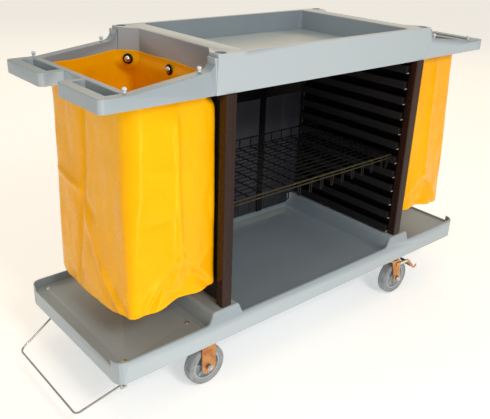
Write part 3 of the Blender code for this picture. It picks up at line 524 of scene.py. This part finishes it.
def face_height(x, z, half, depth, seed):
    """How far a front or back face stands out: a middle fold that splits above a tucked-in triangle."""
    apex = depth * APEX
    tent = 0.004 + 0.018 * min(max(z / apex, 0.0), 1.0) ** 2
    height = tent * max(1.0 - abs(x) / (half * 0.92), 0.0)
    height += fold(x, z, Vector((0.0, 0.03)), Vector((0.004, apex)), 0.0085, 0.0068, 1.2)
    if z > apex - 0.03:
        low = min((z - apex + 0.03) / (depth - apex + 0.03), 1.0)
        inside = max(1.0 - abs(x) / (half * (0.10 + 0.86 * low)), 0.0)
        height -= (0.012 + 0.016 * low) * smoothstep(inside * 1.7) * low ** 0.7
    height += folds_height(x, z, half, depth, FACE_FOLDS)
    return height + ripple(x, z, seed, (11.0, 4.0), (26.0, 15.0), 0.0045)


def end_height(y, z, half, depth, seed):
    """How far an outer end stands out: it bellies towards its bottom."""
    height = folds_height(y, z, half, depth, END_FOLDS)
    height += 0.012 * math.cos(math.pi * y / (2 * half)) * smoothstep(z / depth) * (z / depth)
    return height + ripple(y, z, seed + 9.0, (9.0, 5.0), (24.0, 16.0), 0.0050)


class Bag:
    """One hung bag, built from its CAD node's box, and mirrored for the right end."""

    def __init__(self, end, side):
        self.side = side
        self.name = f"bag_{end}"
        low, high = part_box(self.name)
        self.inner = abs((high.x if side < 0 else low.x) - MIDDLE_X)
        self.outer = abs((low.x if side < 0 else high.x) - MIDDLE_X) - CAD_SWELL[0]
        self.half_y = (high.y - low.y) / 2 - CAD_SWELL[1]
        self.top, self.bottom = high.z, low.z
        self.depth = self.top - self.bottom
        self.seed = 3.7 if side < 0 else 11.3

    def rim(self, u, y):
        """Height of the rim: highest on the cabinet side, lower towards the outer bar."""
        share = (u - self.inner) / (self.outer - self.inner)
        slack = 0.5 - 0.5 * math.cos(2 * math.pi * min(abs(y) / self.half_y, 1.0))
        return self.top + 0.003 - RIM_FALL * smoothstep(share * 1.4) - 0.003 * slack

    def ring(self, t):
        """Points round the bag at a level, t from 0 at the rim to 1 at its bottom edge."""
        outer = self.outer + SWELL[0] * smoothstep(t * 1.1)
        half_y = self.half_y + SWELL[1] * smoothstep(t * 1.5)
        inner = self.inner - RIM_REACH * (1.0 - smoothstep((t - 0.012) / 0.05))
        r_out = CORNER_TOP - 0.026 * smoothstep(t * 1.2)
        r_out -= (CORNER_TOP - CORNER_BOTTOM - 0.026) * smoothstep((t - 0.85) / 0.15)
        soften = smoothstep((t - 0.056) / 0.07)
        slant_x, slant_y = (top + (low - top) * soften for top, low in zip(SLANT_TOP, SLANT_LOW))
        points = []

        def arc(quarter):
            for step in range(BAG_CORNER):
                angle = math.pi / 2 * (quarter + (step + 0.5) / BAG_CORNER)
                points.append((outer - r_out + r_out * math.cos(angle),
                               math.copysign(half_y - r_out, 1.5 - quarter) + r_out * math.sin(angle)))

        def slant(face, shares):
            """A straight slanted corner beside the deck's recess, which turns round lower down."""
            for share in shares:
                angle = math.pi / 2 * share
                line = Vector((slant_x * (1 - share), -slant_y * share))
                bowed = Vector((slant_x * (1 - math.sin(angle)), -slant_y * (1 - math.cos(angle))))
                at = line.lerp(bowed, soften)
                points.append((inner + at.x, face * (half_y + at.y)))

        shares = [(step + 0.5) / BAG_CORNER for step in range(BAG_CORNER)]
        for step in range(BAG_FACE):                                     # front face, towards the end
            u = inner + slant_x + (outer - r_out - inner - slant_x) * (step + 0.5) / BAG_FACE
            points.append((u, -half_y))
        arc(3)
        for step in range(BAG_END):
            points.append((outer, -half_y + r_out + 2 * (half_y - r_out) * (step + 0.5) / BAG_END))
        arc(0)
        for step in range(BAG_FACE):
            u = outer - r_out + (inner + slant_x - outer + r_out) * (step + 0.5) / BAG_FACE
            points.append((u, half_y))
        slant(1, shares)
        for step in range(BAG_END):
            points.append((inner, half_y - slant_y - 2 * (half_y - slant_y) * (step + 0.5) / BAG_END))
        slant(-1, reversed(shares))
        return points

    def place(self, point, t):
        """A ring point pushed in or out by the folds, in the cart's frame."""
        u, y = point
        drop = self.depth * t
        middle, half = (self.inner + self.outer) / 2, (self.outer - self.inner) / 2
        face = smoothstep((abs(y) - self.half_y + EDGE_BAND) / EDGE_BAND)
        end = smoothstep((u - self.outer + EDGE_BAND) / EDGE_BAND)
        free = smoothstep((t - 0.048) / 0.09)
        out_y = face_height(u - middle, drop, half, self.depth, self.seed + (y > 0) * 5.0)
        out_u = end_height(-self.side * y, drop, self.half_y, self.depth, self.seed)
        y += math.copysign(out_y * face * free * (1.0 - 0.75 * end), y)
        if y > 0:
            y -= BACK_TAPER * smoothstep(t * 1.5) * (y / self.half_y)
        u += out_u * end * free * (1.0 - 0.75 * face)
        outward = Vector((u - middle, y * 0.5)).normalized()
        outward *= HEM_T * smoothstep((BAG_HEM - drop) / 0.004)
        u, y = u + outward.x, y + outward.y
        z = self.rim(u, y) * (1.0 - t) + self.bottom * t + self.lift(u - middle, y, half, t)
        return Vector((MIDDLE_X + self.side * u, y, z))

    def lift(self, from_middle, y, half, t):
        """How much the bottom edge rises under the faces, and less so at the outer corners."""
        beside = abs(y) / self.half_y
        face = smoothstep((beside - 0.55) / 0.5) * smoothstep((t - 0.7) / 0.3)
        corner = smoothstep(from_middle / half) * smoothstep((beside - 0.7) / 0.3)
        return 0.036 * face - 0.020 * corner * smoothstep((t - 0.75) / 0.25)

    def floor_ring(self, edge, centre, step):
        """One of the rings that close the bag's bottom, from its edge towards its middle."""
        share = 1.0 - (step / (BAG_FLOOR_RINGS + 0.35)) ** 1.15
        ring = []
        for point in edge:
            moved = centre + (point - centre) * share
            wave = noise.noise(Vector((point.x * 8, point.y * 8, step * 0.5 + self.seed)))
            moved.z = centre.z + (point.z - centre.z) * share ** 2.2 + 0.003 * wave * (1 - share)
            ring.append(moved)
        return ring

    def build(self):
        bm = bmesh.new()
        places = []
        for level in range(BAG_LEVELS + 1):
            t = level / BAG_LEVELS
            places.append([self.place(point, t) for point in self.ring(t)])
        edge = places[-1]
        centre = sum(edge, Vector()) / len(edge)
        centre.z = self.bottom - 0.004
        places += [self.floor_ring(edge, centre, step) for step in range(1, BAG_FLOOR_RINGS + 1)]
        rings = [[bm.verts.new(point) for point in ring] for ring in places]
        for first, second in zip(rings, rings[1:]):
            for index in range(len(first)):
                nxt = (index + 1) % len(first)
                bm.faces.new((first[index], first[nxt], second[nxt], second[index]))
        last = rings[-1]
        hole = [bm.edges.get(pair) for pair in zip(last, last[1:] + last[:1])]
        bmesh.ops.grid_fill(bm, edges=hole)
        bmesh.ops.recalc_face_normals(bm, faces=bm.faces)
        return bm


def settle(piece, frames=16, cap=0.006):
    """Cloth simulation: the vinyl is a little larger than its sculpted shape, so it buckles softly."""
    scene = bpy.context.scene
    mesh = piece.data
    start = [vertex.co.copy() for vertex in mesh.vertices]
    top = max(point.z for point in start)
    held = piece.vertex_groups.new(name="held")
    for vertex in mesh.vertices:
        drop = top - vertex.co.z
        weight = 1.0 if drop < 0.030 else 0.30 + 0.5 * (1.0 - smoothstep((drop - 0.030) / 0.06))
        held.add([vertex.index], weight, "REPLACE")
    cloth = piece.modifiers.new("cloth", "CLOTH")
    settings = cloth.settings
    settings.quality = 5
    settings.mass = 0.25
    settings.tension_stiffness = 25.0
    settings.compression_stiffness = 25.0
    settings.shear_stiffness = 8.0
    settings.bending_stiffness = 8.0
    settings.shrink_min = -0.004
    settings.vertex_group_mass = "held"
    settings.pin_stiffness = 1.2
    settings.air_damping = 2.0
    cloth.collision_settings.use_collision = False
    cloth.collision_settings.use_self_collision = False
    cloth.point_cache.frame_start = 1
    cloth.point_cache.frame_end = frames
    for step in range(1, frames + 1):
        scene.frame_set(step)
    solved = piece.evaluated_get(bpy.context.evaluated_depsgraph_get())
    moved = [vertex.co.copy() for vertex in solved.to_mesh().vertices]
    solved.to_mesh_clear()
    piece.modifiers.remove(cloth)
    piece.vertex_groups.clear()
    scene.frame_set(1)
    for vertex, before, after in zip(mesh.vertices, start, moved):
        move = after - before
        if move.length > cap:
            move *= cap / move.length
        vertex.co = before + move


def build_bags():
    for end, side in ENDS:
        bag = Bag(end, side)
        piece = put(f"vinyl_bag_{end}", bag.build(), VINYL, replaces=[bag.name])
        settle(piece)
        skin = piece.modifiers.new("thickness", "SOLIDIFY")
        skin.thickness = VINYL_T
        skin.offset = -1.0
        smooth = piece.modifiers.new("smooth", "SUBSURF")
        smooth.levels = smooth.render_levels = 1


# ---------------------------------------------------------------- wire shelf

SHELF_LIP_UP = 0.032
SHELF_LIP_DOWN = 0.046
SHELF_BAR_HALF = 0.0025          # half the CAD model's square bar
LIP_INSET = 0.012                # the lips stop this far inside the shelf's ends, clear of the runners
WIRE_R = 0.0021                  # grid wires
EDGE_WIRE_R = 0.0026             # frame and lip wires
LONG_PITCH = 0.025
CROSS_PITCH = 0.0505
HOOK_HALF = 0.0045               # half the width of a hook below the front wire


def build_shelf():
    """Welded round wires: a fine grid on a heavier frame, a rear lip, and a front lip of bent hooks."""
    low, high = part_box("wire_shelf")
    level = high.z - SHELF_LIP_UP - SHELF_BAR_HALF
    front, back = low.y + EDGE_WIRE_R, high.y - EDGE_WIRE_R
    left, right = low.x + EDGE_WIRE_R, high.x - EDGE_WIRE_R
    lip_z = level - SHELF_LIP_DOWN + SHELF_BAR_HALF
    bm = bmesh.new()
    tube(bm, bend([(left, front, level), (left, back, level), (right, back, level), (right, front, level)],
                  0.006, 3), EDGE_WIRE_R, 8)
    count = round((back - front) / LONG_PITCH)
    for step in range(1, count):
        y = front + (back - front) * step / count
        tube(bm, [(left, y, level + WIRE_R), (right, y, level + WIRE_R)], WIRE_R, 8)
    lip_left, lip_right = left + LIP_INSET, right - LIP_INSET
    lip_top = high.z - EDGE_WIRE_R
    edge = bmesh.new()
    tube(edge, [(left, front, level), (right, front, level)], EDGE_WIRE_R, 10)
    second = level - 0.011
    tube(edge, [(lip_left, front - 0.0002, second), (lip_right, front - 0.0002, second)], WIRE_R, 10)
    # the two front wires get the olive-gold finish, which is a painted glint
    crisp(put("shelf_front_wires", edge, FRONT_WIRE_GLINT, body="shelf"), 50)
    tube(bm, [(lip_left, back, lip_top), (lip_right, back, lip_top)], EDGE_WIRE_R, 8)
    count = round((right - left) / CROSS_PITCH)
    for step in range(count + 1):
        x = left + (right - left) * step / count
        x = min(max(x, lip_left + 0.008), lip_right - 0.008)
        tube(bm, bend([(x, back, lip_top), (x, back, level - WIRE_R),
                       (x, front + WIRE_R, level - WIRE_R)], 0.007, 4), WIRE_R, 8)
        hook = bend([(x - HOOK_HALF, front, level), (x - HOOK_HALF, front, lip_z),
                     (x + HOOK_HALF, front, lip_z), (x + HOOK_HALF, front, level)], 0.005, 4)
        tube(bm, hook, WIRE_R, 8)
    piece = put("shelf_wires", bm, WIRE, body="shelf", replaces=["wire_shelf"])
    crisp(piece, 50)


# ---------------------------------------------------------------- studs

WASHER_R = 0.0155
DOME_R = 0.0098
DOME_HEIGHT = 0.0085
HAIR = 0.0002                    # a turned section starts this far from its axis
STUD_LEAN = (0.771, 0.637)       # X and Y parts of the direction that the recess's slanted corners face


def turned_along(bm, profile, centre, direction, segments=32):
    """Adds a profile turned about a horizontal line: radius, distance along the direction."""
    part = bmesh.new()
    turned(part, profile, (0, 0, 0), "X", segments)
    angle = math.atan2(direction.y, direction.x)
    place = Matrix.Translation(centre) @ Matrix.Rotation(angle, 4, "Z")
    bmesh.ops.transform(part, matrix=place, verts=part.verts)
    mesh = bpy.data.meshes.new("part")
    part.to_mesh(mesh)
    part.free()
    bm.from_mesh(mesh)
    bpy.data.meshes.remove(mesh)


def dome(radius, base, height, steps=7):
    """Closed section of a dome standing on a plane, as (radius, height) points."""
    angles = [math.pi / 2 * step / steps for step in range(steps)]
    points = [(radius * math.cos(angle), base + height * math.sin(angle)) for angle in angles]
    return [(HAIR, base), *points, (HAIR, base + height)]


def stud_direction(end, face):
    """Outward direction of a stud: the middle one faces the cart's end, the others face the bag's middle."""
    side = dict(ENDS)[end]
    if face == "middle":
        return Vector((side, 0.0, 0.0))
    lean = dict(FACES)[face]
    return Vector((side * STUD_LEAN[0], -lean * STUD_LEAN[1], 0.0))


def build_studs():
    washer = [(0.004, -0.007), (0.004, 0.0), (WASHER_R - 0.001, 0.0), (WASHER_R, 0.001),
              (WASHER_R - 0.0005, 0.0028), (WASHER_R - 0.003, 0.0042), (HAIR, 0.0042), (HAIR, -0.007)]
    for end, _ in ENDS:
        for face in ("front", "middle", "back"):
            node = f"bag_stud_{end}_{face}"
            low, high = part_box(node)
            centre, direction = (low + high) / 2, stud_direction(end, face)
            centre = centre - direction * 0.0035
            bm = bmesh.new()
            turned_along(bm, washer, centre, direction)
            crisp(put(f"washer_{end}_{face}", bm, WASHER, replaces=[node]), 40)
            bm = bmesh.new()
            turned_along(bm, dome(DOME_R, 0.0043, DOME_HEIGHT), centre, direction)
            put(f"dome_{end}_{face}", bm, STUD, replaces=[node])


# ---------------------------------------------------------------- casters

def arc_points(centre, radius, start, end, steps):
    """Points of an arc between two angles in degrees."""
    angles = [math.radians(start + (end - start) * step / steps) for step in range(steps + 1)]
    return [(centre[0] + radius * math.cos(angle), centre[1] + radius * math.sin(angle)) for angle in angles]


def tyre_section(radius, half):
    """Soft tread with round shoulders and a thin mould line down each flank."""
    inner, shoulder = 0.0474, 0.0075
    points = [(inner, -half + 0.0024), (inner + 0.0025, -half + 0.0008), (inner + 0.0065, -half + 0.0002)]
    points += [(inner + 0.0078, -half + 0.0010), (inner + 0.0090, -half + 0.0002)]
    points += arc_points((radius - shoulder - 0.0007, -half + shoulder), shoulder, -90, -8, 7)
    points += [(radius, -half * 0.30), (radius, half * 0.30)]
    points += arc_points((radius - shoulder - 0.0007, half - shoulder), shoulder, 8, 90, 7)
    points += [(inner + 0.0090, half - 0.0002), (inner + 0.0078, half - 0.0010)]
    points += [(inner + 0.0065, half - 0.0002), (inner + 0.0025, half - 0.0008), (inner, half - 0.0024)]
    return points


def hub_section(half):
    """Rim, dished web and round boss, the same on both faces."""
    rim, lip = 0.0471, half - 0.0030
    outer = [(rim, lip - 0.0012), (rim - 0.0012, lip)]
    outer += arc_points((0.0430, lip - 0.0022), 0.0022, 90, 180, 4)
    outer += [(0.0395, 0.0062), (0.0370, 0.0046), (0.0250, 0.0040), (0.0215, 0.0052), (0.0190, 0.0110)]
    outer += [*arc_points((0.0165, lip - 0.0020), 0.0022, 10, 90, 3), (0.0064, lip + 0.0002)]
    return outer + [(radius, -height) for radius, height in reversed(outer)]


WHEEL_STEPS = 72
RIB_COUNT = 6
RIB_SIZE = (0.024, 0.0080, 0.0022)


def build_hub(prefix, centre, half, body):
    """Hub with ribs on both sides of its web."""
    bm = bmesh.new()
    turned(bm, hub_section(half), centre, "Y", WHEEL_STEPS)
    for step in range(RIB_COUNT):
        angle = math.radians(15 + 360 / RIB_COUNT * step)
        for face in (-1, 1):
            rib = bmesh.ops.create_cube(bm, size=1.0)["verts"]
            bmesh.ops.scale(bm, vec=RIB_SIZE, verts=rib)
            place = Matrix.Rotation(angle, 4, "Y") @ Matrix.Translation((0.030, face * 0.0075, 0.0))
            bmesh.ops.transform(bm, matrix=Matrix.Translation(centre) @ place, verts=rib)
    crisp(put(f"{prefix}_hub_fine", bm, HUB, body, [f"{prefix}_hub"]), 35)


def build_axle(prefix, wheel_y):
    """Axle bolt with a hexagonal head on the inner side and a nut on the outer side."""
    node = f"{prefix}_axle"
    low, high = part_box(node)
    middle, reach = (low + high) / 2, (high.y - low.y) / 2
    side = 1 if middle.y > wheel_y else -1
    shank = [(HAIR, -reach + 0.006), (0.0052, -reach + 0.006), (0.0052, reach - 0.0008),
             (0.0046, reach), (HAIR, reach)]
    nut = [(HAIR, reach - 0.0106), (0.0094, reach - 0.0106), (0.0102, reach - 0.0098),
           (0.0102, reach - 0.0046), (0.0094, reach - 0.0036), (0.0052, reach - 0.0036)]
    head = [(HAIR, -reach), (0.0086, -reach), (0.0100, -reach + 0.0014), (0.0100, -reach + 0.0068),
            (HAIR, -reach + 0.0068)]
    bm = bmesh.new()
    for section, segments in ((shank, 24), (nut, 6), (head, 6)):
        turned(bm, [(radius, side * height) for radius, height in section], middle, "Y", segments)
    crisp(put(f"{prefix}_axle_fine", bm, STEEL, frame["nodes"][node]["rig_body"], [node]), 25)


def build_wheel(prefix):
    """Tyre, hub and axle of one caster, finer than the CAD model's."""
    node = f"{prefix}_tyre"
    low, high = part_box(node)
    centre, radius, half = (low + high) / 2, (high.z - low.z) / 2, (high.y - low.y) / 2
    body = frame["nodes"][node]["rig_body"]
    bm = bmesh.new()
    turned(bm, tyre_section(radius, half), centre, "Y", WHEEL_STEPS)
    crisp(put(f"{prefix}_tyre_fine", bm, RUBBER, body, [node]), 40)
    build_hub(prefix, centre, half, body)
    build_axle(prefix, centre.y)


def build_brake_trim(prefix):
    """A cream insert on the pedal's flank and a black grip on its toe."""
    node = f"{prefix}_brake_pedal"
    low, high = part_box(node)
    body = frame["nodes"][node]["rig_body"]
    outer = high.y if high.y > 0 else low.y
    side = math.copysign(1.0, outer)
    hinge = Vector((low.x + 0.007, 0.0, high.z - 0.007))
    bm = bmesh.new()
    plate = [(0.012, -0.0045), (0.012, 0.0040), (0.050, 0.0024), (0.060, -0.0040), (0.054, -0.0046)]
    slab(bm, [(hinge.x + x, hinge.z + z) for x, z in plate], outer - side * 0.0002, outer + side * 0.0016)
    piece = put(f"{prefix}_brake_insert", bm, CREAM, body, smooth=True)
    rounded(piece, 0.0006)
    bm = bmesh.new()
    grip = [(0.079, -0.0145), (0.105, -0.0420), (0.099, -0.0465), (0.073, -0.0200)]
    inner = (low.y if side > 0 else high.y) - side * 0.0012
    slab(bm, [(hinge.x + x, hinge.z + z) for x, z in grip], inner, outer - side * 0.0045)
    piece = put(f"{prefix}_brake_grip", bm, TOE, body, smooth=True)
    rounded(piece, 0.0012, 3)


def slab(bm, outline, first_y, second_y):
    """Adds an (x, z) outline as a plate between two y positions."""
    rings = [[bm.verts.new((x, y, z)) for x, z in outline] for y in (first_y, second_y)]
    for index in range(len(outline)):
        nxt = (index + 1) % len(outline)
        bm.faces.new((rings[0][index], rings[0][nxt], rings[1][nxt], rings[1][index]))
    bm.faces.new(list(reversed(rings[0])))
    bm.faces.new(rings[1])


# ---------------------------------------------------------------- bail

BAIL_R = 0.003
BAIL_PIN = 0.012
BAIL_INSET = 0.032


def build_bail():
    """The bent wire of the bail, round and smooth at its bends."""
    low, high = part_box("bail")
    bracket_low, bracket_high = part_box("bail_bracket_front")
    pivot_x, pivot_z = (bracket_low.x + bracket_high.x) / 2, high.z - BAIL_R
    pin_y = high.y
    pivot_y, bar_y = pin_y - BAIL_PIN, pin_y - BAIL_PIN - BAIL_INSET
    bar_x, bar_z = low.x + BAIL_R, low.z + BAIL_R
    half = [(pivot_x, pin_y, pivot_z), (pivot_x, pivot_y, pivot_z), (bar_x, bar_y, bar_z)]
    route = half + [(x, -y, z) for x, y, z in reversed(half)]
    bm = bmesh.new()
    tube(bm, bend(route, 0.016, 8), BAIL_R, 16)
    crisp(put("bail_wire", bm, BAIL_STEEL, "bail", ["bail"]), 50)


# ---------------------------------------------------------------- carried-over parts

# Material and edge radius by the start of a node's name, and for casters by its end
FINISHES = {"base_platform": (PLASTIC, 0.0030), "top_deck": (PLASTIC, 0.0030),
            "bag_frame": (PLASTIC, 0.0026), "bag_peg": (PEG, 0.0008),
            "side_panel": (BLACK, 0.0012), "corner_post": (BROWN, 0.0024),
            "back_panel": (SLATE, 0.0012), "back_frame": (BLACK, 0.0012),
            "bail_bracket": (BAIL_STEEL, 0.0006), "bail_bolt": (STEEL, 0.0003),
            "caster_bolt": (STEEL, 0.0003)}
CASTER_FINISHES = {"bracket": (ZINC, 0.0008), "top_plate": (ZINC, 0.0006), "fork": (ZINC, 0.0008),
                   "kingpin": (STEEL, 0.0004), "brake_pedal": (ZINC, 0.0006)}


def finish_cad_parts():
    """Gives each carried-over CAD part its material and soft edges."""
    for name, piece in frame["nodes"].items():
        caster = "_caster_" in name
        parts = CASTER_FINISHES if caster else FINISHES
        match = [key for key in parts if (name.endswith(key) if caster else name.startswith(key))]
        if not match:
            continue
        material, width = parts[match[0]]
        piece.data.materials.clear()
        piece.data.materials.append(material)
        rounded(piece, width, 3 if width > 0.002 else 2)


def add_block(bm, low, high):
    """Adds a box between two corners."""
    cube = bmesh.ops.create_cube(bm, size=1.0)["verts"]
    low, high = Vector(low), Vector(high)
    bmesh.ops.scale(bm, vec=high - low, verts=cube)
    bmesh.ops.translate(bm, vec=(low + high) / 2, verts=cube)


SEAM_INSET = 0.0006              # the filling under a joint lies this far below the surface
SEAM_HALF = 0.0036
ARM_WIDTH = 0.032


def build_seam_fillings():
    """Plastic just below the surface where an arm meets the deck, so the joint reads as a shallow groove."""
    low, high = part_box("top_deck")
    bm = bmesh.new()
    for end, side in ENDS:
        frame_low, frame_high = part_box(f"bag_frame_{end}")
        joint = frame_high.x if side < 0 else frame_low.x
        for _, face in FACES:
            outer = face * (frame_high.y - SEAM_INSET)
            inner = face * (frame_high.y - ARM_WIDTH + SEAM_INSET)
            add_block(bm, (joint - SEAM_HALF, min(inner, outer), low.z + 0.004),
                      (joint + SEAM_HALF, max(inner, outer), frame_high.z - SEAM_INSET * 2))
    crisp(put("joint_fillings", bm, PLASTIC), 30)


RUNNER_PITCH = 0.052
RUNNER_FIRST = 0.111             # underside of the lowest runner above the base's lower edge
RUNNER_COUNT = 12


def build_runner_glints():
    """Small pale blocks where each runner ends behind the front post: painted glints of light on the runner
    ends.
    """
    for end, side in ENDS:
        low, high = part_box(f"side_panel_{end}")
        inside = low.x if side > 0 else high.x
        bm = bmesh.new()
        for step in range(RUNNER_COUNT):
            z = BASE_Z + RUNNER_FIRST + RUNNER_PITCH * step
            xs = sorted((inside + side * 0.004, inside + side * 0.0145))
            add_block(bm, (xs[0], low.y - 0.0006, z), (xs[1], low.y + 0.002, z + 0.0026))
        # the pale grey blocks are painted highlights, not parts of the panel
        piece = put(f"painted_runner_glint_{end}", bm, HUB)
        rounded(piece, 0.0005)


# ---------------------------------------------------------------- stage

FLOOR_HALF = 14.0
KEY_TURN, KEY_RISE = math.radians(10), math.radians(35)
KEY_DISTANCE = 4.0


def build_floor():
    """Large pale floor just under the wheels."""
    bm = bmesh.new()
    corners = [(-FLOOR_HALF, -FLOOR_HALF), (FLOOR_HALF, -FLOOR_HALF), (FLOOR_HALF, FLOOR_HALF),
               (-FLOOR_HALF, FLOOR_HALF)]
    bm.faces.new([bm.verts.new((x, y, -0.0002)) for x, y in corners])
    mesh = bpy.data.meshes.new("studio_floor")
    bm.to_mesh(mesh)
    bm.free()
    mesh.materials.append(floor_finish())
    floor = bpy.data.objects.new("studio_floor", mesh)
    bpy.context.scene.collection.objects.link(floor)


def add_light(name, place, target, size, power, colour):
    """A square soft light that points from one place to another."""
    data = bpy.data.lights.new(name, "AREA")
    data.shape = "RECTANGLE"
    data.size, data.size_y = size
    data.energy = power
    data.color = colour
    light = bpy.data.objects.new(name, data)
    light.location = place
    light.rotation_euler = (Vector(target) - Vector(place)).to_track_quat("-Z", "Y").to_euler()
    bpy.context.scene.collection.objects.link(light)


def build_lights():
    """Key from the front, a soft top light, a low strip for sheen and a warm glow from behind."""
    middle = Vector((MIDDLE_X, 0.0, 0.55))
    level = math.cos(KEY_RISE)
    toward = Vector((-math.sin(KEY_TURN) * level, -math.cos(KEY_TURN) * level, math.sin(KEY_RISE)))
    add_light("key", middle + KEY_DISTANCE * toward, middle, (1.0, 1.0), 53.0, (1.0, 0.985, 0.96))
    above = middle + Vector((-0.6, 0.3, 3.4))
    add_light("top", above, middle, (2.4, 2.4), 22.0, (1.0, 0.88, 0.70))
    low = Vector((base_low.x + 0.04, base_low.y - 1.10, 0.32))
    add_light("low_strip", low, low + Vector((0.16, 1.0, 0.0)), (0.14, 0.60), 3.6, (1.0, 0.97, 0.92))
    behind = middle + Vector((3.2, 3.4, 2.6))
    add_light("warm_back", behind, middle + Vector((0.0, 0.0, 0.2)), (4.5, 2.2), 38.0, (1.0, 0.72, 0.38))
    world = bpy.data.worlds.new("studio")
    bpy.context.scene.world = world
    world.use_nodes = True
    nodes, links = world.node_tree.nodes, world.node_tree.links
    height = nodes.new("ShaderNodeSeparateXYZ")
    blend = nodes.new("ShaderNodeValToRGB")
    links.new(nodes.new("ShaderNodeTexCoord").outputs["Generated"], height.inputs["Vector"])
    links.new(height.outputs["Z"], blend.inputs["Fac"])
    blend.color_ramp.elements[0].color = (0.92, 0.96, 1.0, 1.0)
    blend.color_ramp.elements[0].position = 0.25
    blend.color_ramp.elements[1].color = (1.0, 0.82, 0.52, 1.0)
    blend.color_ramp.elements[1].position = 0.95
    links.new(blend.outputs["Color"], nodes["Background"].inputs["Color"])
    nodes["Background"].inputs["Strength"].default_value = 0.53
    bpy.context.scene.view_settings.view_transform = "Standard"


def build_camera():
    """Camera at the photograph's angle."""
    level = math.cos(CAMERA_PITCH)
    forward = Vector((-math.sin(CAMERA_YAW) * level, math.cos(CAMERA_YAW) * level, math.sin(CAMERA_PITCH)))
    right = Vector((math.cos(CAMERA_YAW), math.sin(CAMERA_YAW), 0.0))
    up = right.cross(forward)
    across = math.cos(CAMERA_ROLL) * right + math.sin(CAMERA_ROLL) * up
    above = math.cos(CAMERA_ROLL) * up - math.sin(CAMERA_ROLL) * right
    data = bpy.data.cameras.new("camera")
    data.lens = CAMERA_LENS
    data.sensor_width = 36.0
    camera = bpy.data.objects.new("camera", data)
    turn = Matrix((across, above, -forward)).transposed().to_4x4()
    camera.matrix_world = Matrix.Translation(CAMERA_AT + Vector((MIDDLE_X, 0.0, 0.0))) @ turn
    bpy.context.scene.collection.objects.link(camera)
    bpy.context.scene.camera = camera


# ---------------------------------------------------------------- scene

build_camera()
build_floor()
build_lights()
finish_cad_parts()
build_bags()
build_shelf()
build_studs()
for caster in ("fixed_caster_front", "fixed_caster_back", "swivel_caster_front", "swivel_caster_back"):
    build_wheel(caster)
for caster in ("swivel_caster_front", "swivel_caster_back"):
    build_brake_trim(caster)
build_bail()
build_seam_fillings()
build_runner_glints()
